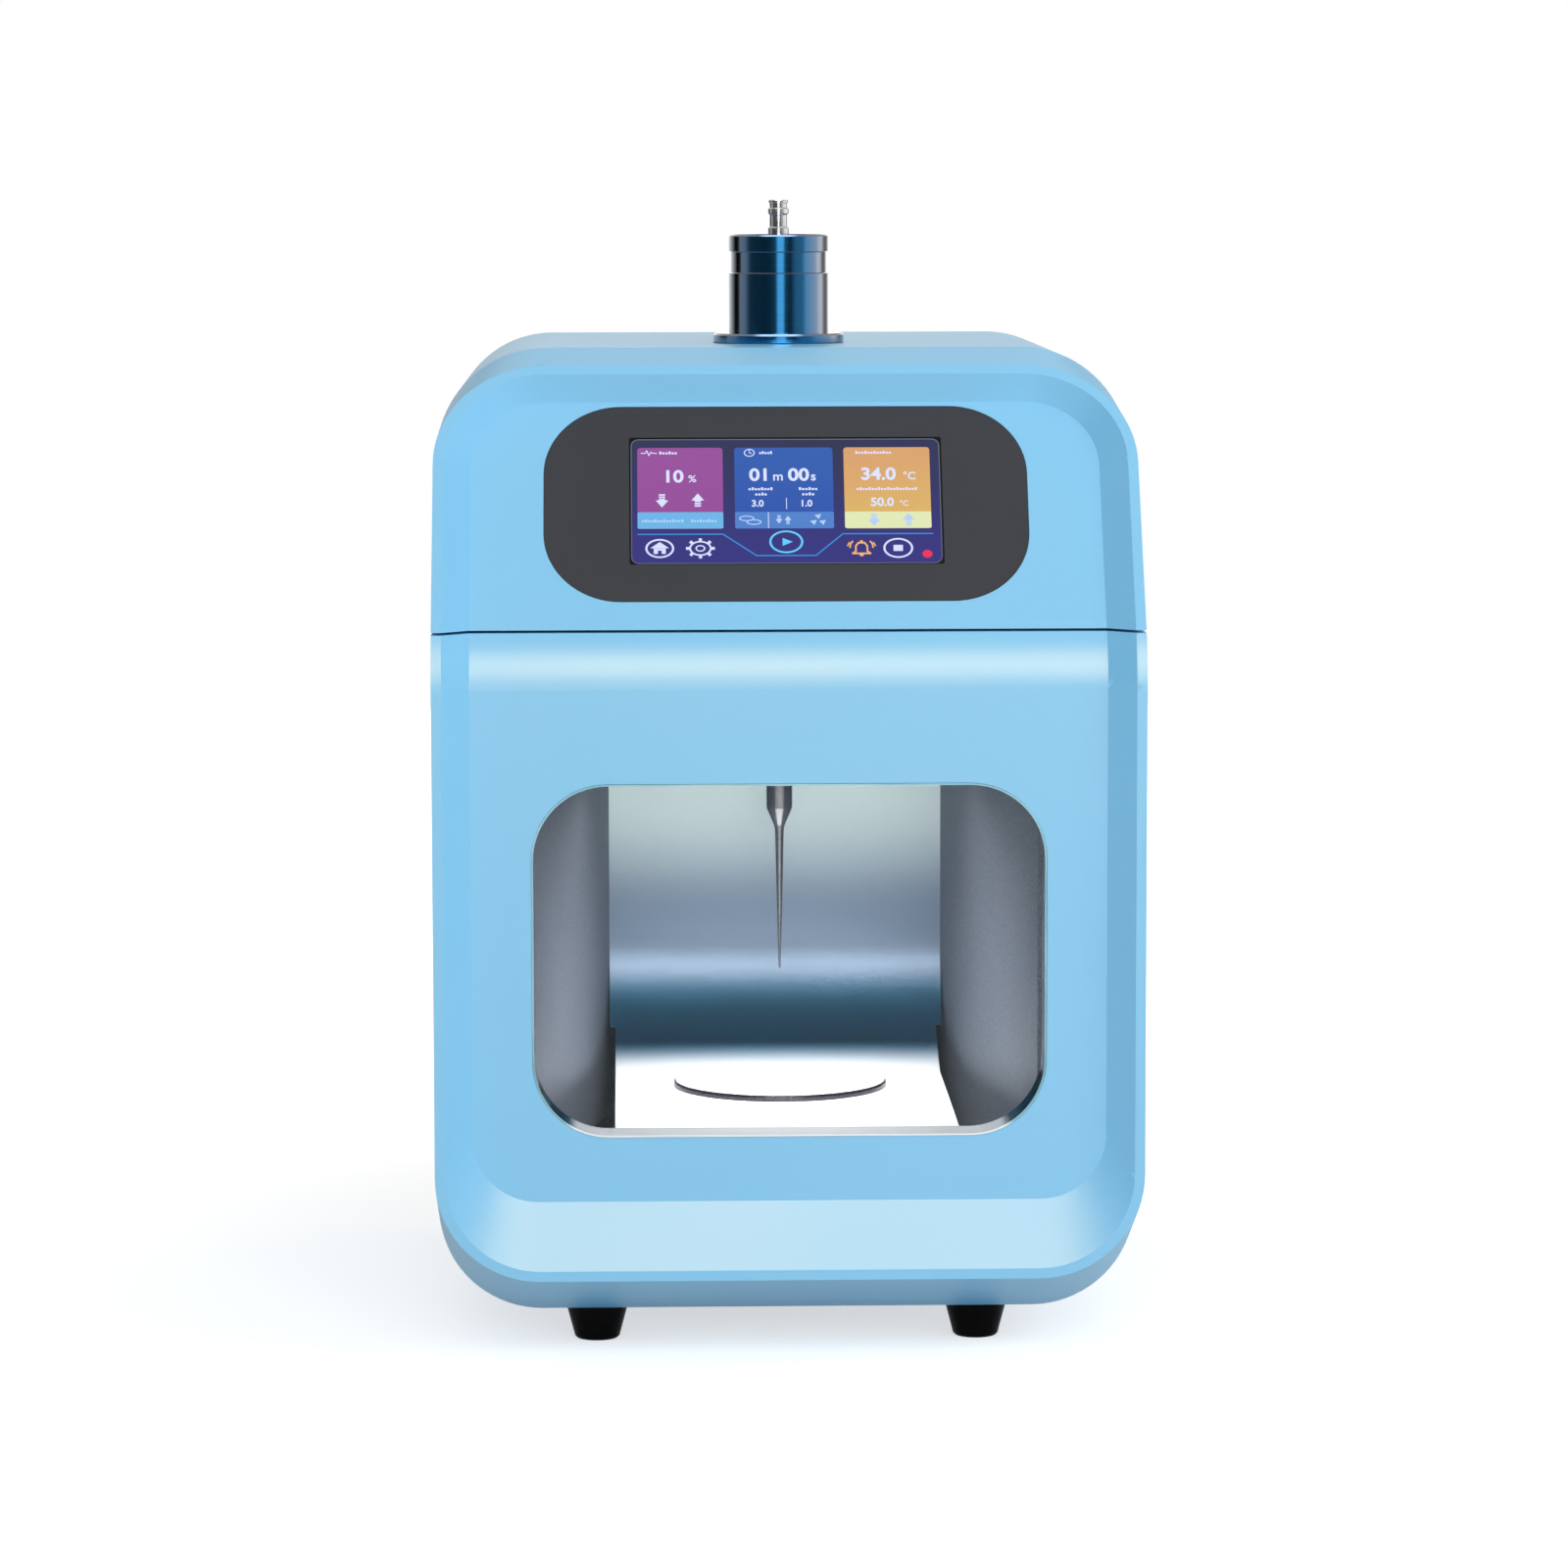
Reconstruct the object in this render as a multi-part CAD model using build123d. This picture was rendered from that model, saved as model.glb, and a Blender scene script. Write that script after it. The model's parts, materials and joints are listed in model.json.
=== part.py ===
from build123d import *
from math import cos, pi, radians, sin, sqrt, tan
import os

os.makedirs("parts", exist_ok=True)

# Bench sonicator with its probe hanging in a chamber behind a windowed door.
# Millimetres. X to the right, Y to the back, Z up. The bench is Z = 0 and the
# probe's axis is X = Y = 0.

# Overall form of the body
body_width = 270.0
body_depth = 294.0
body_top = 385.0
foot_height = 14.3
wall = 3.0
beyond = 500.0  # a cutting reach past the whole body
corner_radius_bottom = 40.0
corner_radius_top = 42.7

# Front: an upright lower face, a rounded nose and a head that leans back
nose_z = 271.0
nose_radius = 44.0
head_tilt = 31.8
head_slant = 126.6
top_band_depth = 83.4
chin_depth = 44.4
rim_bottom = 33.4
seam_z = 280.0
seam_gap = 1.0
seam_groove = 1.2
head_depth = 88.0
door_gap = 1.2

# Recess inside the rim of the front
rim_width = 3.9
recess_depth = 8.5
side_chamfer = 10.3
bottom_chamfer = 25.3
top_chamfer = 7.7
panel_radius_bottom = 25.0
panel_radius_top = 28.0
rim_step = 20.0

# Door window
window_width = 195.6
window_height = 135.1
window_bottom = 87.4
window_radius = 29.0
trim_depth = 17.0
trim_wall = 0.7
pane_thickness = 3.0
fit_clearance = 0.15
trim_lip = 5.0
trim_lip_thickness = 1.4

# Door frame, gasket and hinge
liner_thickness = 2.0
liner_half_width = 103.0
liner_bottom = 76.0
liner_top = 234.0
gasket_width = 6.0
gasket_thickness = 1.2
hinge_inset = 8.0
hinge_pin_radius = 2.0
hinge_running = 0.05
bush_wall = 1.2
knuckle_height = 12.0
knuckle_gap = 0.4
knuckle_run = 0.6
knuckle_levels = (66.0, 246.0)
boss_height = 12.0
boss_radius = 4.6
strike_size = (13.0, 30.0)
magnet_depth = 8.0
catch_inset = 15.0
catch_z = 155.0
catch_air = 0.5

# Screen and its surround
bezel_width = 185.4
bezel_height = 84.6
bezel_radius = 29.5
bezel_centre = 70.8
bezel_thickness = 2.0
screen_width = 119.8
screen_height = 55.0
screen_centre = 72.0
glass_thickness = 1.2
glass_sink = 0.5
display_margin = 5.0
display_thickness = 7.0
board_gap = 5.0
board_thickness = 1.6

# Sample chamber
floor_z = 85.1
chamber_back = 71.0
chamber_ceiling_z = 231.0
bend_radius = 50.0
sheet = 1.5
back_half_width = 69.0
back_overlap = 3.0
tray_half_width = 66.6
tray_shoulder_z = 100.0
tray_front = -109.0
flare_half_width = 97.3
side_bottom = 62.0
flange_width = 6.0
stage_radius = 43.0
stage_height = 2.6
stage_y = -2.5
stage_edge = 1.2
bulkhead_thickness = 2.0
bulkhead_air = 0.4
seal_radius = 13.0
seal_thickness = 3.0
tip_clearance = 0.6

# Converter that drops in from the top, with its horn and tip
converter_radius = 19.9
converter_top = 427.9
converter_bottom = 312.0
converter_wall = 2.4
collar_radius = 26.1
collar_thickness = 3.8
collar_bottom = 385.1
groove_top = 421.0
groove_bottom = 413.0
groove_depth = 0.8
lid_thickness = 4.0
sleeve_clearance = 0.5
sleeve_wall = 6.0
sleeve_bottom = 340.0
sleeve_flange_radius = 42.0
sleeve_flange_thickness = 3.0
sleeve_bolt_circle = 35.0
connector_radius = 3.55
connector_ring_radius = 4.2
connector_top = 441.7
connector_bore = 2.6
connector_core_radius = 0.7
disc_radius = 15.0
disc_thickness = 5.0
disc_count = 4
disc_bore = 5.5
shim_thickness = 0.4
stack_bottom = 352.0
front_mass_height = 26.0
back_mass_height = 22.0
stack_bolt_radius = 4.0
horn_top_radius = 16.0
horn_step_z = 296.0
horn_bottom = 246.0
horn_end_radius = 8.0
tip_shank_radius = 5.25
tip_shoulder_z = 197.9
tip_neck_z = 190.9
tip_neck_radius = 2.25
tip_root_z = 189.2
tip_root_radius = 1.8
tip_end_z = 132.4
tip_end_radius = 0.4
tip_stud_radius = 3.0
tip_stud_length = 10.0

# Feet and base
foot_inset_x = 61.0
foot_inset_y = 58.5
foot_top_radius = 12.6
foot_bottom_radius = 8.8
foot_flare = 2.5
base_thickness = 2.0
base_side_gap = 1.0
base_front_gap = 13.0
base_back_gap = 9.0
foot_screw_radius = 2.0
foot_screw_head = 4.0
foot_counterbore = 5.0

# Rear panel and what it carries
panel_recess = 6.0
panel_thickness = 2.0
panel_clearance = 0.3
panel_boss_radius = 6.0
panel_boss_length = 18.0
panel_screw_levels = (62.0, 200.0, 338.0)
screw_radius = 1.5
screw_head_radius = 2.9
screw_head_height = 1.7
screw_length = 12.0
fan_size = 80.0
fan_depth = 25.0
fan_bore = 37.5
fan_hub = 18.0
fan_blades = 7
fan_x = 58.0
fan_z = 300.0
fan_hole_pitch = 71.5
guard_rings = (12.0, 20.0, 28.0, 36.0)
guard_wire = 1.6
vent_slots = 9
vent_pitch = 9.0
vent_length = 60.0
vent_width = 3.0
vent_x = -66.0
vent_z = 300.0
inlet_x = 78.0
inlet_z = 52.0
inlet_block = (31.0, 36.0, 24.0)
inlet_flange = (40.0, 46.0, 2.4)
socket_size = (24.6, 17.2, 17.0)
socket_drop = 7.0
blade_size = (2.0, 14.0, 4.0)
blade_spread = 7.0
blade_step = 2.2
drawer_size = (20.0, 17.0, 6.4)
drawer_rise = 11.0
drawer_clearance = 0.2
drawer_lip = 1.4
switch_x = 28.0
switch_z = 52.0
switch_body = (19.0, 22.0, 12.8)
switch_flange = (21.5, 15.0, 1.8)
rocker_tilt = 10.0
rocker_sink = 2.0
rocker_axle = 1.0
jack_y = -50.0
jack_z = 229.0
jack_radius = 4.0
jack_bore = 1.8
jack_length = 14.0
jack_proud = 1.0

# Electrical pieces inside
toroid_outer = 44.0
toroid_inner = 16.0
toroid_height = 36.0
toroid_edge = 6.0
toroid_x = -58.0
toroid_y = 40.0
clamp_radius = 24.0
clamp_thickness = 2.0
generator_size = (84.0, 150.0, 1.6)
generator_x = 47.0
generator_y = 20.0
standoff_height = 8.0
standoff_radius = 3.0
sink_size = (24.0, 92.0, 29.0)
sink_fins = 7
capacitor_radius = 9.0
capacitor_height = 28.0

front_y = -body_depth / 2
half_width = body_width / 2
body_bottom = foot_height
door_rear_y = front_y + chin_depth
housing_front_y = door_rear_y + door_gap
head_rear_y = front_y + head_depth
rear_edge_y = body_depth / 2
panel_rear_y = rear_edge_y - panel_recess
panel_front_y = panel_rear_y - panel_thickness
door_top = seam_z - seam_gap / 2
head_bottom = seam_z + seam_gap / 2
nose_run = nose_radius * tan(radians(head_tilt) / 2)
nose_centre_y = front_y + nose_radius
nose_centre_z = nose_z - nose_run
lean = radians(head_tilt)
bulkhead_y = door_rear_y + gasket_thickness + bulkhead_air
hinge_x = -half_width + hinge_inset
hinge_y = door_rear_y - hinge_inset
catch_x = half_width - catch_inset
foot_x = half_width - foot_inset_x
foot_y = body_depth / 2 - foot_inset_y
base_half_width = half_width - corner_radius_bottom - base_side_gap
base_front = bulkhead_y + bulkhead_thickness + base_front_gap
base_back = panel_front_y - base_back_gap


def save(node, shape):
    shape.label = node
    export_step(shape, f"parts/{node}.step")


def box(x0, x1, y0, y1, z0, z1):
    return Pos((x0 + x1) / 2, (y0 + y1) / 2, (z0 + z1) / 2) * Box(x1 - x0, y1 - y0, z1 - z0)


def upright(x, y, z0, z1, radius):
    return Pos(x, y, (z0 + z1) / 2) * Cylinder(radius, z1 - z0)


def along_y(x, z, y0, y1, radius):
    return Pos(x, (y0 + y1) / 2, z) * Rot(90, 0, 0) * Cylinder(radius, y1 - y0)


def along_x(y, z, x0, x1, radius):
    return Pos((x0 + x1) / 2, y, z) * Rot(0, 90, 0) * Cylinder(radius, x1 - x0)


def ring(x, y, z0, z1, outer, inner):
    return upright(x, y, z0, z1, outer) - upright(x, y, z0 - 1, z1 + 1, inner)


def turned(profile):
    """A body of revolution about the probe's axis from (radius, height) points."""
    outline = Plane.XZ * make_face(Polyline(*profile, close=True))
    return revolve(outline, Axis.Z)


def face_plane(depth):
    return Plane(origin=(0, front_y + depth, 0), x_dir=(1, 0, 0), z_dir=(0, -1, 0))


def head_plane(depth):
    normal = Vector(0, -cos(lean), sin(lean))
    corner = Vector(0, front_y, nose_z)
    return Plane(origin=corner - normal * depth, x_dir=(1, 0, 0), z_dir=normal)


def slab(half, low, high, radius, rounded):
    """A rectangle with its two lower or two upper corners rounded."""
    flat = Pos(0, (low + high) / 2) * Rectangle(2 * half, high - low)
    side = flat.vertices().group_by(Axis.Y)[0 if rounded == "bottom" else -1]
    return fillet(side, radius)


def rounded_panel(width, height, radius, x=0.0, y=0.0):
    return Pos(x, y) * RectangleRounded(width, height, radius)


def profile_solid(depth):
    """All that lies behind the front's side profile, set back by a depth."""
    radius = nose_radius - depth
    start = (front_y + depth, nose_centre_z)
    middle = (nose_centre_y - radius * cos(lean / 2), nose_centre_z + radius * sin(lean / 2))
    end = (nose_centre_y - radius * cos(lean), nose_centre_z + radius * sin(lean))
    far = (end[0] + head_slant * sin(lean), end[1] + head_slant * cos(lean))
    edges = [
        Line((front_y + depth, 0), start),
        ThreePointArc(start, middle, end),
        Line(end, far),
        Polyline(far, (rear_edge_y, far[1]), (rear_edge_y, 0), (front_y + depth, 0)),
    ]
    side = Plane.YZ * make_face(Curve() + edges)
    return extrude(side, amount=body_width, both=True)


def front_layer(near, near_form, far, far_form):
    """A layer of the front between two depths, each with its own outline."""
    lower = [face_plane(depth) * slab(form["half"], form["bottom"], nose_centre_z, form["low_r"], "bottom")
             for depth, form in ((near, near_form), (far, far_form))]
    upper = [head_plane(depth) * slab(form["half"], nose_run, form["top"], form["high_r"], "top")
             for depth, form in ((near, near_form), (far, far_form))]
    section = Polyline((-near_form["half"], front_y + near), (near_form["half"], front_y + near),
                       (far_form["half"], front_y + far), (-far_form["half"], front_y + far), close=True)
    nose_face = Pos(0, 0, nose_centre_z) * make_face(section)
    nose_axis = Axis((0, nose_centre_y, nose_centre_z), (-1, 0, 0))
    nose = revolve(nose_face, nose_axis, revolution_arc=head_tilt)
    return loft(lower, ruled=True) + nose + loft(upper, ruled=True)


def front_form(half, bottom, low_r, top, high_r):
    return {"half": half, "bottom": bottom, "low_r": low_r, "top": top, "high_r": high_r}


rim_inner = front_form(half_width - rim_width, rim_bottom + rim_width, corner_radius_bottom - rim_width,
                       head_slant - rim_width, corner_radius_top - rim_width)
panel_edge = front_form(half_width - rim_width - side_chamfer, rim_bottom + rim_width + bottom_chamfer,
                        panel_radius_bottom, head_slant - rim_width - top_chamfer, panel_radius_top)
panel_back = front_form(panel_edge["half"] - wall, panel_edge["bottom"] + wall, panel_radius_bottom - wall,
                        panel_edge["top"] - wall, panel_radius_top - wall)


def front_recess():
    return front_layer(-6, rim_inner, 0, rim_inner) + front_layer(0, rim_inner, recess_depth, panel_edge)


def panel_cavity():
    return front_layer(recess_depth + wall, panel_back, rim_step + 1, panel_back)


def below(z, shape):
    return shape & box(-beyond, beyond, -beyond, beyond, -beyond, z)


def above(z, shape):
    return shape & box(-beyond, beyond, -beyond, beyond, z, beyond)


def hinge_point_at(radius, z0, z1):
    return upright(hinge_x, hinge_y, z0, z1, radius)


def window_face(margin):
    """The window's outline, grown by a margin, standing in the face plane."""
    return rounded_panel(window_width + 2 * margin, window_height + 2 * margin, window_radius + margin,
                         0, window_bottom + window_height / 2)


def window_block(margin, near, far):
    return extrude(face_plane(far) * window_face(margin), amount=far - near)


def liner_face(margin, radius):
    width = 2 * (liner_half_width + margin)
    height = liner_top - liner_bottom + 2 * margin
    return rounded_panel(width, height, radius + margin, 0, (liner_top + liner_bottom) / 2)


trim_rear = recess_depth + trim_depth
liner_rear = chin_depth
liner_front = chin_depth - liner_thickness
liner_radius = 20.0


def door_blank():
    outlines = [face_plane(depth) * slab(half_width, low, seam_z + wall, corner_radius_bottom, "bottom")
                for depth, low in ((0, rim_bottom), (chin_depth, body_bottom))]
    return below(door_top, loft(outlines, ruled=True) & profile_solid(0))


def door_cavity():
    slope = (rim_bottom - body_bottom) / chin_depth
    reach = chin_depth + 2
    near_low = rim_bottom - slope * rim_step + wall * sqrt(1 + slope ** 2)
    far_low = rim_bottom - slope * reach + wall * sqrt(1 + slope ** 2)
    outlines = [face_plane(depth) * slab(half_width - wall, low, seam_z + wall, corner_radius_bottom - wall, "bottom")
                for depth, low in ((rim_step, near_low), (reach, far_low))]
    deep = loft(outlines, ruled=True) & profile_solid(rim_step)
    return below(door_top - wall, deep + panel_cavity())


def hinge_roll():
    """What the rounded hinge edge takes off the door's rear left corner."""
    square = box(-half_width - 1, hinge_x, hinge_y, door_rear_y + 1, 0, body_top)
    return square - hinge_point_at(hinge_inset, -1, body_top + 1)


def knuckle_notches():
    notches = None
    for level in knuckle_levels:
        notch = box(-half_width - 1, hinge_x + hinge_inset + 1, hinge_y - hinge_inset - knuckle_run, door_rear_y + 1,
                    level - knuckle_gap, level + knuckle_height + knuckle_gap)
        notches = notch if notches is None else notches + notch
    return notches


def door_bosses():
    """Two ears above and below each knuckle, where the bushes sit."""
    bosses = []
    for level in knuckle_levels:
        for low in (level - knuckle_gap - boss_height, level + knuckle_height + knuckle_gap):
            ear = hinge_point_at(boss_radius, low, low + boss_height)
            web = box(-half_width + wall - 0.5, hinge_x, hinge_y - 3, hinge_y + 3, low, low + boss_height)
            bosses.append(ear + web)
    return bosses


def door_shell():
    shell = door_blank() - front_recess() - door_cavity() - window_block(fit_clearance, 0, rim_step)
    shell = shell - hinge_roll()
    # The hinge edge keeps its wall behind the roll.
    roll = hinge_point_at(hinge_inset, body_bottom + corner_radius_bottom, door_top - wall)
    roll = roll - hinge_point_at(hinge_inset - wall, body_bottom, door_top)
    roll = roll & box(-half_width, hinge_x, hinge_y, door_rear_y, 0, body_top)
    shell = shell + roll
    for boss in door_bosses():
        shell = shell + boss
    shell = shell - knuckle_notches()
    bore = hinge_pin_radius + hinge_running + bush_wall
    for level in knuckle_levels:
        shell = shell - hinge_point_at(bore, level - knuckle_gap - boss_height - 1,
                                       level + knuckle_height + knuckle_gap + boss_height + 1)
    return shell


def window_trim():
    """A polished ring that lines the window and is glued behind the panel."""
    tube = window_block(0, recess_depth, trim_rear) - window_block(-trim_wall, 0, trim_rear + 1)
    lip_front = recess_depth + wall
    lip = window_block(trim_lip, lip_front, lip_front + trim_lip_thickness)
    lip = lip - window_block(-trim_wall, 0, trim_rear)
    return tube + lip


def window_pane():
    return window_block(-trim_wall, trim_rear - pane_thickness, trim_rear)


def door_liner():
    """The door's inner cover: a flat frame and a funnel up to the window."""
    sheet_back = below(door_top - wall, extrude(
        face_plane(liner_rear) * slab(half_width - wall, body_bottom + wall + 5,
                                      seam_z + wall, corner_radius_bottom - wall - 4, "bottom"),
        amount=liner_thickness))
    outer = loft([face_plane(trim_rear) * window_face(liner_thickness + 0.6),
                  face_plane(liner_rear) * liner_face(liner_thickness, liner_radius)], ruled=True)
    inner = loft([face_plane(trim_rear - 0.01) * window_face(0.6),
                  face_plane(liner_rear + 0.01) * liner_face(0, liner_radius)], ruled=True)
    cover = sheet_back + outer - inner
    hinge_side = box(-half_width, hinge_x + hinge_inset + 2, front_y, 0, 0, body_top)
    return cover - hinge_side


def door_gasket():
    outer = face_plane(liner_rear + gasket_thickness) * liner_face(gasket_width + 1.5, liner_radius)
    inner = face_plane(liner_rear + gasket_thickness) * liner_face(1.5, liner_radius)
    return extrude(outer, amount=gasket_thickness) - extrude(inner, amount=gasket_thickness)


def hinge_bushes():
    bushes = []
    for level in knuckle_levels:
        for low in (level - knuckle_gap - boss_height, level + knuckle_height + knuckle_gap):
            bushes.append(ring(hinge_x, hinge_y, low, low + boss_height,
                               hinge_pin_radius + hinge_running + bush_wall, hinge_pin_radius + hinge_running))
    return Compound(children=bushes)


def strike_plate():
    width, height = strike_size
    return box(catch_x - width / 2, catch_x + width / 2, door_rear_y, door_rear_y + gasket_thickness - catch_air,
               catch_z - height / 2, catch_z + height / 2)


def housing_outline(inset):
    low, high = body_bottom + inset, body_top - inset
    flat = Pos(0, (low + high) / 2) * Rectangle(2 * (half_width - inset), high - low)
    flat = fillet(flat.vertices().group_by(Axis.Y)[0], corner_radius_bottom - inset)
    return fillet(flat.vertices().group_by(Axis.Y)[-1], corner_radius_top - inset)


def housing_block(inset, near_y, far_y):
    plane = Plane(origin=(0, far_y, 0), x_dir=(1, 0, 0), z_dir=(0, -1, 0))
    return extrude(plane * housing_outline(inset), amount=far_y - near_y)


def rear_shell():
    """The open box behind door and head, before it is parted at the seam."""
    shell = housing_block(0, housing_front_y, rear_edge_y)
    shell = shell - box(-beyond, beyond, -beyond, head_rear_y, head_bottom, beyond)
    hollow = housing_block(wall, head_rear_y - wall, rear_edge_y + 1)
    hollow = hollow + below(head_bottom - wall, housing_block(wall, housing_front_y - 1, head_rear_y))
    shell = shell - hollow
    # Screw bosses for the rear panel
    for x in (-1, 1):
        for z in panel_screw_levels:
            boss = along_y(x * (half_width - wall - panel_boss_radius + 0.5), z,
                           panel_front_y - panel_boss_length, panel_front_y, panel_boss_radius)
            shell = shell + (boss & housing_block(wall / 2, 0, rear_edge_y))
    # Knuckles of the door's hinge
    for level in knuckle_levels:
        top = level + knuckle_height
        arm = box(-half_width, hinge_x + hinge_inset, hinge_y, bulkhead_y, level, top)
        shell = shell + hinge_point_at(hinge_inset, level, top) + arm
    # Holes
    for level in knuckle_levels:
        shell = shell - hinge_point_at(hinge_pin_radius, level - 1, level + knuckle_height + 1)
    for x, z in panel_screw_points():
        shell = shell - along_y(x, z, panel_front_y - screw_length, panel_rear_y, screw_radius)
    shell = shell - upright(0, 0, body_top - 2 * wall, body_top + 1, converter_radius + sleeve_clearance)
    for x, y in foot_points():
        shell = shell - upright(x, y, 0, body_bottom + 2 * wall, foot_screw_radius + 0.2)
    shell = shell - along_x(jack_y, jack_z, -half_width - 2, -half_width + 2 * wall, jack_radius + fit_clearance)
    band = above(seam_z - seam_gap / 2, below(seam_z + seam_gap / 2, housing_block(0, head_rear_y, rear_edge_y)))
    return shell - (band - housing_block(seam_groove, head_rear_y - 1, rear_edge_y + 1))


def top_region():
    return box(-beyond, beyond, head_rear_y, beyond, seam_z, beyond)


def deck_region():
    inner = half_width - wall
    return box(-inner, inner, -beyond, head_rear_y, head_bottom - wall, beyond)


def top_housing():
    return rear_body & top_region()


def head_deck():
    """The shelf under the head, let in between the side walls."""
    return rear_body & deck_region()


def side_housing(side):
    """One half of the lower body: a side wall with its half of the floor."""
    half = Pos(side * beyond / 2, 0, 0) * Box(beyond, 2 * beyond, 2 * beyond)
    return (rear_body & half) - top_region() - deck_region()


def panel_screw_points():
    x = half_width - wall - panel_boss_radius + 0.5
    return [(side * x, z) for side in (-1, 1) for z in panel_screw_levels]


def foot_points():
    return [(x, y) for x in (-foot_x, foot_x) for y in (-foot_y, foot_y)]


def head_cover():
    tilted = head_plane(0) * slab(half_width, 0, head_slant, corner_radius_top, "top")
    upright_face = face_plane(top_band_depth) * slab(half_width, nose_z, body_top, corner_radius_top, "top")
    shell = loft([tilted, upright_face], ruled=True) & profile_solid(0)
    shell = shell + extrude(upright_face, amount=-(head_depth - top_band_depth))
    shell = above(head_bottom, shell)
    hollow = housing_block(wall, front_y, head_rear_y + 1) & profile_solid(rim_step)
    shell = shell - front_recess() - above(head_bottom + wall, hollow + panel_cavity())
    # Seat of the screen surround, and the opening behind it
    seat = head_plane(recess_depth + bezel_thickness) * bezel_face(fit_clearance)
    shell = shell - extrude(seat, amount=bezel_thickness + 1)
    shell = shell - extrude(head_plane(rim_step) * display_face(0.3), amount=rim_step)
    return shell


def bezel_face(margin):
    return rounded_panel(bezel_width + 2 * margin, bezel_height + 2 * margin, bezel_radius + margin,
                         0, bezel_centre)


def screen_face(margin, radius):
    return rounded_panel(screen_width + 2 * margin, screen_height + 2 * margin, radius, 0, screen_centre)


def display_face(margin):
    return screen_face(display_margin + margin, 2.0)


def bezel_panel():
    plate = extrude(head_plane(recess_depth + bezel_thickness) * bezel_face(0), amount=bezel_thickness)
    hole = extrude(head_plane(recess_depth + 2 * bezel_thickness) * screen_face(fit_clearance, 1.0),
                   amount=3 * bezel_thickness)
    return plate - hole


def touch_glass():
    back = recess_depth + glass_sink + glass_thickness
    return extrude(head_plane(back) * screen_face(0, 1.0), amount=glass_thickness)


def display_module():
    """The screen's own frame: it fills the opening behind the surround."""
    near = recess_depth + bezel_thickness
    can = extrude(head_plane(near + display_thickness) * display_face(0), amount=display_thickness)
    step = extrude(head_plane(near) * screen_face(-0.5, 1.0), amount=bezel_thickness - glass_sink - glass_thickness)
    return can + step


def control_board():
    """The board behind the screen, on four posts, with its two connectors."""
    near = recess_depth + bezel_thickness + display_thickness
    back = near + board_gap + board_thickness
    board = extrude(head_plane(back) * rounded_panel(116, 60, 2, 0, screen_centre), amount=board_thickness)
    for x in (-52, 52):
        for y in (-24, 24):
            board = board + extrude(head_plane(back - board_thickness) * (Pos(x, screen_centre + y) * Circle(2.5)),
                                    amount=board_gap)
    for x in (-30, 25):
        board = board + extrude(head_plane(back + 7) * rounded_panel(24, 6, 0.5, x, screen_centre - 20), amount=7)
    return board


def front_bulkhead():
    """The plate behind the door, with the chamber's mouth in it."""
    plate = below(head_bottom - wall, housing_block(wall, bulkhead_y, bulkhead_y + bulkhead_thickness))
    mouth = box(-flare_half_width - sheet, flare_half_width + sheet, bulkhead_y - 1,
                bulkhead_y + bulkhead_thickness + 1, side_bottom, chamber_ceiling_z + sheet)
    return plate - mouth


def chamber_back_sheet():
    """Back wall and tray: one sheet with a wide bend, narrower at the tray."""
    inner = bend_radius
    path_outer = [
        Line((tray_front, floor_z), (chamber_back - inner, floor_z)),
        ThreePointArc((chamber_back - inner, floor_z),
                      (chamber_back - inner + inner * sin(pi / 4), floor_z + inner - inner * cos(pi / 4)),
                      (chamber_back, floor_z + inner)),
        Line((chamber_back, floor_z + inner), (chamber_back, chamber_ceiling_z)),
    ]
    outer = inner + sheet
    path_outer += [
        Line((chamber_back, chamber_ceiling_z), (chamber_back + sheet, chamber_ceiling_z)),
        Line((chamber_back + sheet, chamber_ceiling_z), (chamber_back + sheet, floor_z + inner)),
        ThreePointArc((chamber_back + sheet, floor_z + inner),
                      (chamber_back - inner + outer * sin(pi / 4), floor_z + inner - outer * cos(pi / 4)),
                      (chamber_back - inner, floor_z - sheet)),
        Line((chamber_back - inner, floor_z - sheet), (tray_front, floor_z - sheet)),
        Line((tray_front, floor_z - sheet), (tray_front, floor_z)),
    ]
    bent = extrude(Plane.YZ * make_face(Curve() + path_outer), amount=back_half_width + back_overlap, both=True)
    reach = back_half_width + 2 * back_overlap
    for low_half, level in ((tray_half_width, tray_shoulder_z), (back_half_width, floor_z + inner)):
        for x0, x1 in ((-reach, -low_half), (low_half, reach)):
            bent = bent - box(x0, x1, front_y, rear_edge_y, 0, level)
    return bent


def chamber_side(side):
    """A flared side panel with a flange against the front bulkhead."""
    y0 = bulkhead_y + bulkhead_thickness
    run = chamber_back - y0
    rise = flare_half_width - back_half_width
    across = sheet * sqrt(run ** 2 + rise ** 2) / run
    points = [
        (back_half_width, chamber_back),
        (flare_half_width, y0),
        (flare_half_width + flange_width, y0),
        (flare_half_width + flange_width, y0 + sheet),
        (flare_half_width + across - rise / run * sheet, y0 + sheet),
        (back_half_width + across, chamber_back),
    ]
    points = [(side * x, y) for x, y in points]
    return extrude(Pos(0, 0, side_bottom) * make_face(Polyline(*points, close=True)),
                   amount=chamber_ceiling_z - side_bottom)


def chamber_ceiling():
    """The chamber's roof plate, resting on the three walls."""
    y0 = bulkhead_y + bulkhead_thickness
    points = [(-back_half_width - 4, chamber_back + 4), (back_half_width + 4, chamber_back + 4),
              (flare_half_width + flange_width, y0), (-flare_half_width - flange_width, y0)]
    plate = extrude(Pos(0, 0, chamber_ceiling_z) * make_face(Polyline(*points, close=True)), amount=sheet)
    return plate - upright(0, 0, chamber_ceiling_z - 1, chamber_ceiling_z + 5, seal_radius - 2)


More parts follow.
